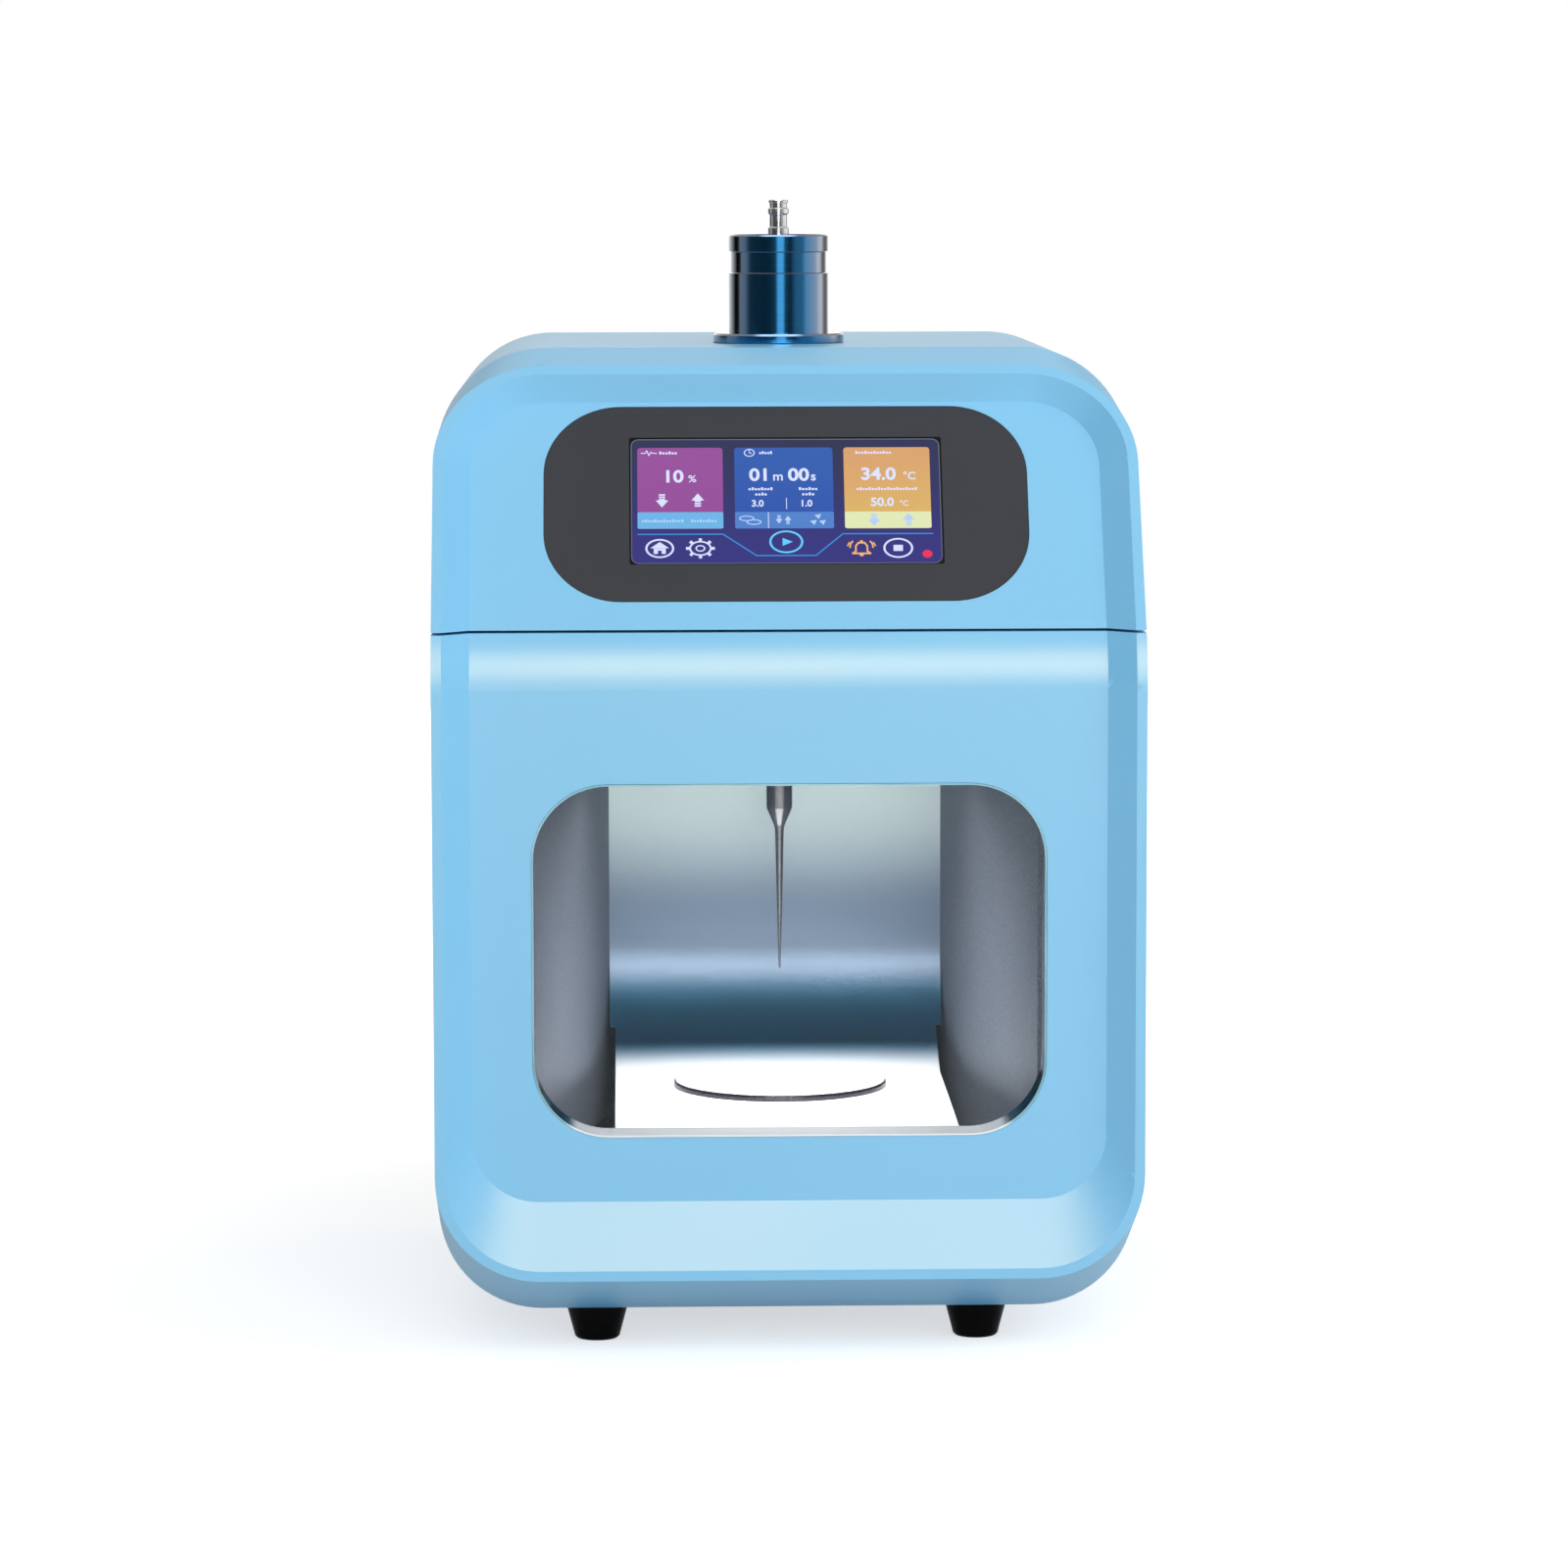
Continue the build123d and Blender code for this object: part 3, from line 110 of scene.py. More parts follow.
# Fine rings about the probe's axis, as a lathe leaves them
def makeTurned():
    tree, given, result = newGroup("turnedMarks", {"Fine": 2400.0, "Broad": 140.0}, ("Height", "Tone"))
    place = addNode(tree, "ShaderNodeTexCoord").outputs["Object"]
    parts = addNode(tree, "ShaderNodeSeparateXYZ", {"Vector": place})
    flat = addNode(tree, "ShaderNodeCombineXYZ", {"X": parts.outputs["X"], "Y": parts.outputs["Y"]})
    radius = addNode(tree, "ShaderNodeVectorMath", {0: flat.outputs[0]}, operation="LENGTH").outputs["Value"]
    ringPlace = addNode(tree, "ShaderNodeCombineXYZ", {"X": radius, "Z": parts.outputs["Z"]}).outputs[0]
    fine = addNode(tree, "ShaderNodeTexNoise", {"Vector": ringPlace, "Scale": given.outputs["Fine"], "Detail": 2.0})
    broad = addNode(tree, "ShaderNodeTexNoise", {"Vector": ringPlace, "Scale": given.outputs["Broad"]})
    tree.links.new(fine.outputs["Fac"], result.inputs["Height"])
    tree.links.new(spread(tree, broad.outputs["Fac"], 0.3, 0.7), result.inputs["Tone"])
    return tree


# Powder coat: a pebbled skin with pale and dark specks
def makeSpecks():
    tree, given, result = newGroup("coatSpecks", {"Fine": 1500.0, "Broad": 700.0}, ("Height", "Tone"))
    place = addNode(tree, "ShaderNodeTexCoord").outputs["Object"]
    fine = addNode(tree, "ShaderNodeTexNoise", {"Vector": place, "Scale": given.outputs["Fine"], "Detail": 2.0})
    specks = addNode(tree, "ShaderNodeTexNoise", {"Vector": place, "Scale": given.outputs["Broad"], "Detail": 5.0,
                                                  "Roughness": 0.75})
    tree.links.new(fine.outputs["Fac"], result.inputs["Height"])
    tree.links.new(spread(tree, specks.outputs["Fac"], 0.36, 0.64), result.inputs["Tone"])
    return tree


# Long fine scratches across the sheet
def makeBrushed():
    tree, given, result = newGroup("brushedLines", {"Fine": 1800.0, "Broad": 60.0}, ("Height", "Tone"))
    place = addNode(tree, "ShaderNodeTexCoord").outputs["Object"]
    drawn = addNode(tree, "ShaderNodeMapping", {"Vector": place, "Scale": (0.03, 1.0, 1.0)}).outputs[0]
    fine = addNode(tree, "ShaderNodeTexNoise", {"Vector": drawn, "Scale": given.outputs["Fine"], "Detail": 3.0})
    broad = addNode(tree, "ShaderNodeTexNoise", {"Vector": drawn, "Scale": given.outputs["Broad"]})
    tree.links.new(fine.outputs["Fac"], result.inputs["Height"])
    tree.links.new(spread(tree, broad.outputs["Fac"], 0.3, 0.7), result.inputs["Tone"])
    return tree


groups = {"grain": makeGrain(), "turned": makeTurned(), "specks": makeSpecks(), "brushed": makeBrushed()}
print("shader groups made:", len(groups))

# Finishes: one for each slot of the record, one for the stage and one for the chamber's ceiling, a darker copy of the
# chamber steel that paints in its shade
finishes = {
    "shell_blue": {"from": "grain", "dark": (0.205, 0.602, 0.93), "pale": (0.220, 0.620, 0.955),
                   "rough": (0.36, 0.42), "fine": 700, "broad": 5, "bump": 0.01, "gloss": 1.0,
                   "glossTint": (1.0, 0.64, 0.12)},
    "bezel_charcoal": {"from": "grain", "dark": (0.040, 0.042, 0.049), "pale": (0.046, 0.049, 0.057),
                       "rough": (0.5, 0.6), "fine": 1800, "broad": 9, "bump": 0.04, "gloss": 0.15},
    "screen_glass": {"from": "grain", "dark": (0.003, 0.003, 0.004), "pale": (0.005, 0.005, 0.007),
                     "rough": (0.08, 0.11), "fine": 90, "broad": 16, "bump": 0.004, "gloss": 0.3},
    "display_black": {"from": "grain", "dark": (0.012, 0.012, 0.013), "pale": (0.02, 0.02, 0.022),
                      "rough": (0.45, 0.6), "fine": 1200, "broad": 20, "bump": 0.08},
    "circuit_green": {"from": "brushed", "dark": (0.01, 0.07, 0.03), "pale": (0.02, 0.12, 0.05), "rough": (0.3, 0.42),
                      "fine": 500, "broad": 160, "bump": 0.1},
    "chamber_grey": {"from": "specks", "dark": (0.14, 0.158, 0.195), "pale": (0.305, 0.335, 0.40),
                     "rough": (0.5, 0.66), "fine": 1500, "broad": 900, "bump": 0.2, "metal": 0.35},
    # Chamber steel: the top of the wall is lightened as painted light, the bend carries a dark teal painted
    # reflection of the shaded ceiling, and the floor below is painted white, non-metal glare
    "chamber_steel": {"from": "specks", "dark": (0.165, 0.22, 0.295), "pale": (0.19, 0.25, 0.335),
                      "rough": (0.34, 0.38), "fine": 1600, "broad": 1100, "bump": 0.1, "metal": 1.0,
                      "paintedLightTop": {"from": 0.146, "to": 0.205, "colour": (0.84, 1.0, 1.0)},
                      "paintedShadeBend": {"from": 0.122, "to": 0.108, "colour": (0.10, 0.34, 0.54)},
                      "paintedWhiteGlare": {"from": 0.0950, "to": 0.0853, "colour": (0.92, 0.94, 0.96), "metal": 0.0}},
    # The ceiling: chamber steel darkened as painted shade
    "shadedCeilingSteel": {"from": "specks", "dark": (0.045, 0.075, 0.09), "pale": (0.06, 0.10, 0.12), "rough": (0.4, 0.5),
                      "fine": 1600, "broad": 900, "bump": 0.1, "metal": 0.6},
    # The stage: its sides are darkened as painted shade, and its top is painted white, non-metal glare
    "stage_steel": {"from": "specks", "dark": (0.05, 0.045, 0.055), "pale": (0.08, 0.07, 0.085), "rough": (0.25, 0.3),
                    "fine": 1600, "broad": 1100, "bump": 0.08, "metal": 1.0,
                    "paintedWhiteGlare": {"from": 0.0874, "to": 0.08768, "colour": (0.92, 0.94, 0.96), "metal": 0.0}},
    "seal_black": {"from": "grain", "dark": (0.01, 0.01, 0.011), "pale": (0.02, 0.02, 0.021), "rough": (0.55, 0.7),
                   "fine": 1500, "broad": 25, "bump": 0.15},
    "foot_black": {"from": "grain", "dark": (0.002, 0.002, 0.002), "pale": (0.004, 0.0035, 0.0035),
                   "rough": (0.2, 0.3), "fine": 900, "broad": 30, "bump": 0.04, "gloss": 0.04},
    "steel_plain": {"from": "brushed", "dark": (0.42, 0.43, 0.45), "pale": (0.55, 0.56, 0.57), "rough": (0.3, 0.42),
                    "fine": 1500, "broad": 70, "bump": 0.08, "metal": 1.0},
    "screw_steel": {"from": "grain", "dark": (0.52, 0.53, 0.55), "pale": (0.66, 0.66, 0.68), "rough": (0.18, 0.28),
                    "fine": 1500, "broad": 60, "bump": 0.05, "metal": 1.0},
    "panel_grey": {"from": "specks", "dark": (0.44, 0.47, 0.50), "pale": (0.56, 0.59, 0.62), "rough": (0.42, 0.55),
                   "fine": 1300, "broad": 800, "bump": 0.2},
    "fan_black": {"from": "grain", "dark": (0.012, 0.012, 0.014), "pale": (0.022, 0.022, 0.024), "rough": (0.4, 0.52),
                  "fine": 1400, "broad": 30, "bump": 0.1},
    "inlet_black": {"from": "grain", "dark": (0.01, 0.01, 0.011), "pale": (0.016, 0.016, 0.017),
                    "rough": (0.25, 0.36), "fine": 1500, "broad": 30, "bump": 0.06},
    "brass_plain": {"from": "grain", "dark": (0.62, 0.42, 0.13), "pale": (0.78, 0.58, 0.24), "rough": (0.2, 0.32),
                    "fine": 1500, "broad": 60, "bump": 0.05, "metal": 1.0},
    "jack_grey": {"from": "grain", "dark": (0.46, 0.49, 0.53), "pale": (0.52, 0.55, 0.59), "rough": (0.25, 0.34),
                  "fine": 1200, "broad": 40, "bump": 0.04},
    "magnet_dark": {"from": "grain", "dark": (0.2, 0.2, 0.22), "pale": (0.28, 0.28, 0.3), "rough": (0.25, 0.35),
                    "fine": 1500, "broad": 50, "bump": 0.06, "metal": 1.0},
    "toroid_amber": {"from": "brushed", "dark": (0.20, 0.09, 0.02), "pale": (0.42, 0.24, 0.06), "rough": (0.35, 0.5),
                     "fine": 300, "broad": 220, "bump": 0.3},
    "parts_dark": {"from": "grain", "dark": (0.012, 0.014, 0.025), "pale": (0.025, 0.03, 0.05), "rough": (0.28, 0.4),
                   "fine": 900, "broad": 40, "bump": 0.05},
    "sink_aluminium": {"from": "brushed", "dark": (0.58, 0.59, 0.61), "pale": (0.7, 0.71, 0.73), "rough": (0.28, 0.4),
                       "fine": 1600, "broad": 60, "bump": 0.07, "metal": 1.0},
    "window_clear": {"from": "grain", "dark": (0.10, 0.13, 0.14), "pale": (0.12, 0.15, 0.16), "rough": (0.02, 0.04),
                     "fine": 60, "broad": 9, "bump": 0.002, "alpha": 0.07},
    # The trim's lower part is painted white: a painted reflection
    "window_trim": {"from": "grain", "dark": (0.16, 0.33, 0.40), "pale": (0.26, 0.44, 0.50), "rough": (0.06, 0.12),
                    "fine": 200, "broad": 30, "bump": 0.01, "metal": 1.0,
                    "paintedWhiteGlare": {"from": 0.0935, "to": 0.0905, "colour": (0.93, 0.95, 0.96), "metal": 0.1}},
    # The anodised blue greys towards its outline: a painted sheen
    "anodised_blue": {"from": "turned", "dark": (0.012, 0.195, 0.45), "pale": (0.016, 0.22, 0.49),
                      "rough": (0.10, 0.13), "fine": 5200, "broad": 900, "bump": 0.006, "metal": 1.0, "coat": 0.6,
                      "coatRough": 0.1, "rim": (0.33, 0.36, 0.42)},
    "connector_nickel": {"from": "turned", "dark": (0.72, 0.72, 0.73), "pale": (0.84, 0.84, 0.85),
                         "rough": (0.12, 0.18), "fine": 5200, "broad": 900, "bump": 0.01, "metal": 1.0},
    "ceramic_pale": {"from": "grain", "dark": (0.58, 0.53, 0.42), "pale": (0.66, 0.61, 0.5), "rough": (0.3, 0.4),
                     "fine": 900, "broad": 40, "bump": 0.05},
    "copper_sheet": {"from": "turned", "dark": (0.66, 0.27, 0.12), "pale": (0.8, 0.38, 0.19), "rough": (0.2, 0.32),
                     "fine": 2200, "broad": 300, "bump": 0.04, "metal": 1.0},
    "titanium": {"from": "turned", "dark": (0.30, 0.30, 0.31), "pale": (0.40, 0.40, 0.41), "rough": (0.2, 0.26),
                 "fine": 5200, "broad": 900, "bump": 0.008, "metal": 1.0},
}


# 0 at one height of the object and 1 at another
def heightShare(tree, start, end):
    place = addNode(tree, "ShaderNodeTexCoord").outputs["Object"]
    level = addNode(tree, "ShaderNodeSeparateXYZ", {"Vector": place}).outputs["Z"]
    return addNode(tree, "ShaderNodeMapRange", {"Value": level, "From Min": start, "From Max": end},
                   interpolation_type="SMOOTHSTEP").outputs[0]


# A blend of two colours, each a plain colour or the result of another node
def mixColour(tree, share, first, second):
    ends = [end if isinstance(end, bpy.types.NodeSocket) else (*end, 1) for end in (first, second)]
    return addNode(tree, "ShaderNodeMix", {0: share, 6: ends[0], 7: ends[1]}, data_type="RGBA").outputs[2]


# The colour by tone, then by height a painted light, a painted shade and a painted white glare, then a painted sheen
# that greys it towards the outline
def baseColour(tree, shader, spec, tone):
    shown = mixColour(tree, tone, spec["dark"], spec["pale"])
    for key in ("paintedLightTop", "paintedShadeBend", "paintedWhiteGlare"):
        if key in spec:
            part = spec[key]
            share = heightShare(tree, part["from"], part["to"])
            shown = mixColour(tree, share, shown, part["colour"])
            if "metal" in part:
                metal = addNode(tree, "ShaderNodeMapRange", {"Value": share, "To Min": spec["metal"],
                                                             "To Max": part["metal"]})
                tree.links.new(metal.outputs[0], shader.inputs["Metallic"])
    # A painted grazing sheen: the base colour greys where the surface turns away from the view
    if "rim" in spec:
        edge = addNode(tree, "ShaderNodeLayerWeight", {"Blend": 0.5}).outputs["Facing"]
        near = addNode(tree, "ShaderNodeMapRange", {"Value": edge, "From Min": 0.12, "From Max": 0.5}).outputs[0]
        shown = mixColour(tree, near, shown, spec["rim"])
    return shown


def makeFinish(name, spec):
    material = bpy.data.materials.new(name)
    material.use_nodes = True
    tree = material.node_tree
    shader = tree.nodes["Principled BSDF"]
    pattern = addNode(tree, "ShaderNodeGroup", node_tree=groups[spec["from"]])
    pattern.inputs["Fine"].default_value = spec["fine"]
    pattern.inputs["Broad"].default_value = spec["broad"]
    tone = pattern.outputs["Tone"]
    shader.inputs["Metallic"].default_value = spec.get("metal", 0.0)
    tree.links.new(baseColour(tree, shader, spec, tone), shader.inputs["Base Color"])
    least, most = spec["rough"]
    rough = addNode(tree, "ShaderNodeMapRange", {"Value": tone, "To Min": least, "To Max": most})
    tree.links.new(rough.outputs[0], shader.inputs["Roughness"])
    relief = addNode(tree, "ShaderNodeBump", {"Height": pattern.outputs["Height"], "Strength": spec["bump"],
                                              "Distance": 0.0006})
    tree.links.new(relief.outputs[0], shader.inputs["Normal"])
    shader.inputs["Coat Weight"].default_value = spec.get("coat", 0.0)
    shader.inputs["Coat Roughness"].default_value = spec.get("coatRough", 0.03)
    shader.inputs["Alpha"].default_value = spec.get("alpha", 1.0)
    shader.inputs["Specular IOR Level"].default_value = spec.get("gloss", 0.5)
    shader.inputs["Specular Tint"].default_value = (*spec.get("glossTint", (1, 1, 1)), 1)
    if "glow" in spec:
        glow = mixColour(tree, heightShare(tree, *spec["fade"]), spec["glow"], spec["glowEnd"])
        tree.links.new(glow, shader.inputs["Emission Color"])
        shader.inputs["Emission Strength"].default_value = 1.0
    return material


made = {name: makeFinish(name, spec) for name, spec in finishes.items()}
ownFinish = {"sample_stage": "stage_steel", "chamber_ceiling": "shadedCeilingSteel"}
for part in frame["record"]["subparts"]:
    mesh = nodes[part["node"]].data
    mesh.materials.clear()
    mesh.materials.append(made[ownFinish.get(part["node"], part["material_slot"])])
slotOf = {part["node"]: part["material_slot"] for part in frame["record"]["subparts"]}
print("finishes made:", len(made))


# Mesh helpers
def finishPiece(mesh, name, body, slot, material=None):
    piece = bpy.data.objects.new(name, mesh)
    bpy.context.scene.collection.objects.link(piece)
    mesh.materials.clear()
    mesh.materials.append(material or made[slot])
    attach(piece, body)
    return piece


# The rounding's width, the least turn and length of an edge that is rounded, the turn above which shading breaks, and
# the turn below which two faces count as one
shellEdge = {"width": 0.8 * mm, "fold": math.radians(15), "shortest": 4 * mm, "break": math.radians(32),
             "flat": math.radians(0.4), "weld": 0.001 * mm}


def turnOf(edge):
    return edge.calc_face_angle(0) if len(edge.link_faces) == 2 else 0


# A copy that stands for a CAD solid, with its crisp long edges rounded and its crisp short ones kept sharp
def softenedCopy(node, body, spec):
    shape = bmesh.new()
    shape.from_mesh(nodes[node].data)
    bmesh.ops.remove_doubles(shape, verts=shape.verts, dist=spec["weld"])
    bmesh.ops.dissolve_degenerate(shape, edges=shape.edges, dist=spec["weld"])
    bmesh.ops.dissolve_limit(shape, angle_limit=spec["flat"], verts=shape.verts, edges=shape.edges)
    folds = [edge for edge in shape.edges if turnOf(edge) > spec["fold"]]
    rounded = [edge for edge in folds if edge.calc_length() > spec["shortest"]]
    kept = set(folds) - set(rounded)
    for edge in shape.edges:
        edge.smooth = edge not in kept
    bmesh.ops.bevel(shape, geom=rounded, offset=spec["width"], offset_type="OFFSET", affect="EDGES", segments=3,
                    profile=0.5, material=-1, clamp_overlap=True)
    for face in shape.faces:
        face.smooth = True
    for edge in shape.edges:
        edge.smooth = edge.smooth and turnOf(edge) <= spec["break"]
    mesh = bpy.data.meshes.new(node + "_soft")
    shape.to_mesh(mesh)
    shape.free()
    piece = finishPiece(mesh, node + "_soft", body, slotOf[node])
    even = piece.modifiers.new("evenNormals", "WEIGHTED_NORMAL")
    even.keep_sharp = True
    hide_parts(node)
    return piece


shells = {"left_housing": "housing", "right_housing": "housing", "top_housing": "housing", "head_cover": "housing",
          "door_shell": "door"}
for node, body in shells.items():
    softenedCopy(node, body, shellEdge)
print("shells softened")

# Lit screen
headPlane = {"corner": (0, -147.0, 271.0), "lean": 31.8, "glassDepth": 9.0}


# Places a drawing made in millimetres across and up the leaning head, above the glass by a lift
def headMatrix(lift):
    lean = math.radians(headPlane["lean"])
    out = Vector((0, -math.cos(lean), math.sin(lean)))
    up = Vector((0, math.sin(lean), math.cos(lean)))
    place = (Vector(headPlane["corner"]) - out * (headPlane["glassDepth"] - lift)) * mm
    turn = Matrix((Vector((1, 0, 0)), up, out)).transposed().to_4x4()
    return Matrix.Translation(place) @ turn @ Matrix.Scale(mm, 4)


# Gives the flat drawing a small height, with its faces outward
def thicken(shape, depth=0.05):
    flat = list(shape.faces)
    for face in flat:
        if face.normal.z < 0:
            face.normal_flip()
    grown = bmesh.ops.extrude_face_region(shape, geom=flat)
    raised = [v for v in grown["geom"] if isinstance(v, bmesh.types.BMVert)]
    bmesh.ops.translate(shape, verts=raised, vec=(0, 0, depth))
    bmesh.ops.delete(shape, geom=flat, context="FACES_ONLY")


def addPlate(shape, left, right, low, high, radius):
    corners = bmesh.ops.create_grid(shape, x_segments=1, y_segments=1, size=0.5)["verts"]
    bmesh.ops.scale(shape, verts=corners, vec=(right - left, high - low, 1))
    bmesh.ops.translate(shape, verts=corners, vec=((left + right) / 2, (low + high) / 2, 0))
    if radius > 0:
        bmesh.ops.bevel(shape, geom=corners, offset=radius, offset_type="OFFSET", affect="VERTICES", segments=5,
                        profile=0.5, material=-1)


# An oval ring: two circles joined
def addRing(shape, x, y, wide, tall, line):
    outer = bmesh.ops.create_circle(shape, segments=40, radius=1)["verts"]
    bmesh.ops.scale(shape, verts=outer, vec=(wide, tall, 1))
    inner = bmesh.ops.create_circle(shape, segments=40, radius=1)["verts"]
    bmesh.ops.scale(shape, verts=inner, vec=(wide - line, tall - line * 0.85, 1))
    bmesh.ops.translate(shape, verts=outer + inner, vec=(x, y, 0))
    around = set(outer + inner)
    bmesh.ops.bridge_loops(shape, edges=[e for e in shape.edges if set(e.verts) <= around])


def addDisc(shape, x, y, wide, tall, segments=32):
    verts = bmesh.ops.create_circle(shape, cap_ends=True, segments=segments, radius=1)["verts"]
    bmesh.ops.scale(shape, verts=verts, vec=(wide, tall, 1))
    bmesh.ops.translate(shape, verts=verts, vec=(x, y, 0))
    return verts


def addShape(shape, points):
    shape.faces.new([shape.verts.new((x, y, 0)) for x, y in points])


# A block arrow with three bars for its tail; way is 1 for up
def addArrow(shape, x, y, wide, tall, way):
    addShape(shape, [(x - wide / 2, y), (x + wide / 2, y), (x, y + way * tall / 2)][::way])
    for k in range(3):
        bar = y - way * tall * (0.06 + 0.17 * k)
        addPlate(shape, x - wide / 4, x + wide / 4, bar - tall * 0.055, bar + tall * 0.055, 0)


# A bent line of even width
def addLine(shape, points, line):
    for (x0, y0), (x1, y1) in zip(points, points[1:]):
        along = Vector((x1 - x0, y1 - y0)).normalized()
        side = Vector((-along.y, along.x)) * line / 2
        end = along * line * 0.35
        corners = [Vector((x0, y0)) - end - side, Vector((x1, y1)) + end - side,
                   Vector((x1, y1)) + end + side, Vector((x0, y0)) - end + side]
        addShape(shape, [tuple(c) for c in corners])


# A lit colour that changes from the foot of the screen to its top
def litColour(name, colour, endColour):
    return makeFinish(name, {"from": "grain", "dark": tuple(c * 0.15 for c in colour),
                             "pale": tuple(c * 0.15 for c in endColour), "rough": (0.1, 0.14), "fine": 2200,
                             "broad": 40, "bump": 0.004, "gloss": 0.2, "glow": colour, "glowEnd": endColour,
                             "fade": (0.3035, 0.3505)})


def drawOnScreen(name, lift, colour, endColour, build):
    shape = bmesh.new()
    build(shape)
    bmesh.ops.recalc_face_normals(shape, faces=shape.faces)
    thicken(shape)
    bmesh.ops.transform(shape, matrix=headMatrix(lift), verts=shape.verts)
    mesh = bpy.data.meshes.new(name)
    shape.to_mesh(mesh)
    shape.free()
    return finishPiece(mesh, name, "housing", "screen_glass", litColour(name, colour, endColour))


# Numbers set in the plain built-in face, as a flat mesh in the drawing's millimetres
def textMesh(words, size, x, y, stretch, weight):
    curve = bpy.data.curves.new("number", "FONT")
    curve.body, curve.size = words, size
    curve.align_x = "LEFT"
    curve.offset = weight * size
    holder = bpy.data.objects.new("number", curve)
    bpy.context.scene.collection.objects.link(holder)
    bpy.context.view_layer.update()
    mesh = bpy.data.meshes.new_from_object(holder.evaluated_get(bpy.context.evaluated_depsgraph_get()))
    bpy.data.objects.remove(holder)
    bpy.data.curves.remove(curve)
    mesh.transform(Matrix.Translation((x, y, 0)) @ Matrix.Diagonal((stretch, 1, 1, 1)))
    return mesh


# Places on the screen, in millimetres across and up the head
lit = {"half": 59.4, "low": 44.9, "high": 99.1, "radius": 3.0, "line": 0.4}
tiles = {"low": 60.0, "high": 95.3, "radius": 1.2, "stripLow": 60.1, "stripHigh": 67.2, "stripRadius": 0.6,
         "power": (-56.9, -24.1), "clock": (-19.6, 18.2), "heat": (22.4, 55.5)}
icons = {"home": (-48.5, 51.5, 5.5, 4.1), "gear": (-33.0, 51.5), "play": (-0.2, 54.2, 6.5, 4.9),
         "bell": (28.5, 51.4), "stop": (42.5, 51.4, 5.7, 4.3), "dot": (53.6, 48.8, 1.9, 1.7),
         "rail": ((-56.8, 57.6), (-24.3, 57.6), (-11.6, 48.3), (11.1, 48.3), (21.5, 57.6), (55.9, 57.6))}
lift = {"field": 0.01, "tile": 0.07, "strip": 0.13, "mark": 0.19}


def tilePlate(key):
    return lambda shape: addPlate(shape, *tiles[key], tiles["low"], tiles["high"], tiles["radius"])


def stripPlate(key):
    return lambda shape: addPlate(shape, *tiles[key], tiles["stripLow"], tiles["stripHigh"], tiles["stripRadius"])


def addText(shape, words, size, x, y, stretch, weight):
    flat = textMesh(words, size, x, y, stretch, weight)
    shape.from_mesh(flat)
    bpy.data.meshes.remove(flat)


def homeMark(shape):
    x, y, wide, tall = icons["home"]
    addRing(shape, x, y, wide, tall, 0.8)
    addShape(shape, [(x - 3.6, y + 0.1), (x + 3.6, y + 0.1), (x, y + 2.8)])
    addPlate(shape, x - 2.3, x - 0.7, y - 2.3, y, 0)
    addPlate(shape, x + 0.7, x + 2.3, y - 2.3, y, 0)
    addPlate(shape, x - 0.7, x + 0.7, y - 0.9, y, 0)


def gearMark(shape):
    x, y = icons["gear"]
    addRing(shape, x, y, 4.3, 3.2, 0.7)
    addRing(shape, x, y, 1.9, 1.4, 0.55)
    for k in range(8):
        angle = k * math.pi / 4
        verts = bmesh.ops.create_grid(shape, x_segments=1, y_segments=1, size=0.5)["verts"]
        bmesh.ops.scale(shape, verts=verts, vec=(1.2, 1.5, 1))
        bmesh.ops.rotate(shape, verts=verts, matrix=Matrix.Rotation(angle, 3, "Z"))
        bmesh.ops.translate(shape, verts=verts, vec=(x - math.sin(angle) * 4.75, y + math.cos(angle) * 3.55, 0))


def bellMark(shape):
    x, y = icons["bell"]
    outline = ((-3.4, -2.3), (-2.2, -1.4), (-2.2, 0.9), (-1.2, 2.3), (1.2, 2.3), (2.2, 0.9), (2.2, -1.4), (3.4, -2.3),
               (-3.4, -2.3))
    addLine(shape, [(x + across, y + up) for across, up in outline], 0.65)
    addDisc(shape, x, y - 3.0, 0.8, 0.5, 12)
    addDisc(shape, x, y + 2.9, 0.6, 0.5, 12)
    for side in (-1, 1):
        addLine(shape, [(x + side * 3.4, y + 2.9), (x + side * 4.2, y + 1.7), (x + side * 4.4, y + 0.3)], 0.6)
        addLine(shape, [(x + side * 4.6, y + 2.4), (x + side * 5.3, y + 1.0)], 0.5)


def stopMark(shape):
    x, y, wide, tall = icons["stop"]
    addRing(shape, x, y, wide, tall, 0.8)
    addPlate(shape, x - 1.8, x + 1.8, y - 1.3, y + 1.3, 0.2)


# Each reading or unit: its height, place, stretch and weight
bold = 0.027
readings = (("10", 7.3, -47.2, 80.3, 1.1, bold), ("%", 4.2, -37.4, 80.3, 1.1, 0.012),
            ("01", 7.4, -14.0, 80.9, 1.1, bold), ("m", 5.4, -5.0, 80.9, 1.0, 0.014),
            ("00", 7.4, 0.9, 80.9, 1.1, bold), ("s", 5.4, 9.6, 80.9, 1.0, 0.018),
            ("3.0", 3.9, -13.3, 69.6, 1.0, bold), ("1.0", 3.9, 5.3, 69.6, 1.0, bold),
            ("34.0", 7.3, 28.8, 81.2, 1.08, bold), ("\u00b0C", 4.6, 45.0, 81.2, 1.0, 0.014),
            ("50.0", 5.0, 32.3, 69.7, 1.05, bold), ("\u00b0C", 3.2, 43.4, 69.7, 1.0, 0.014))
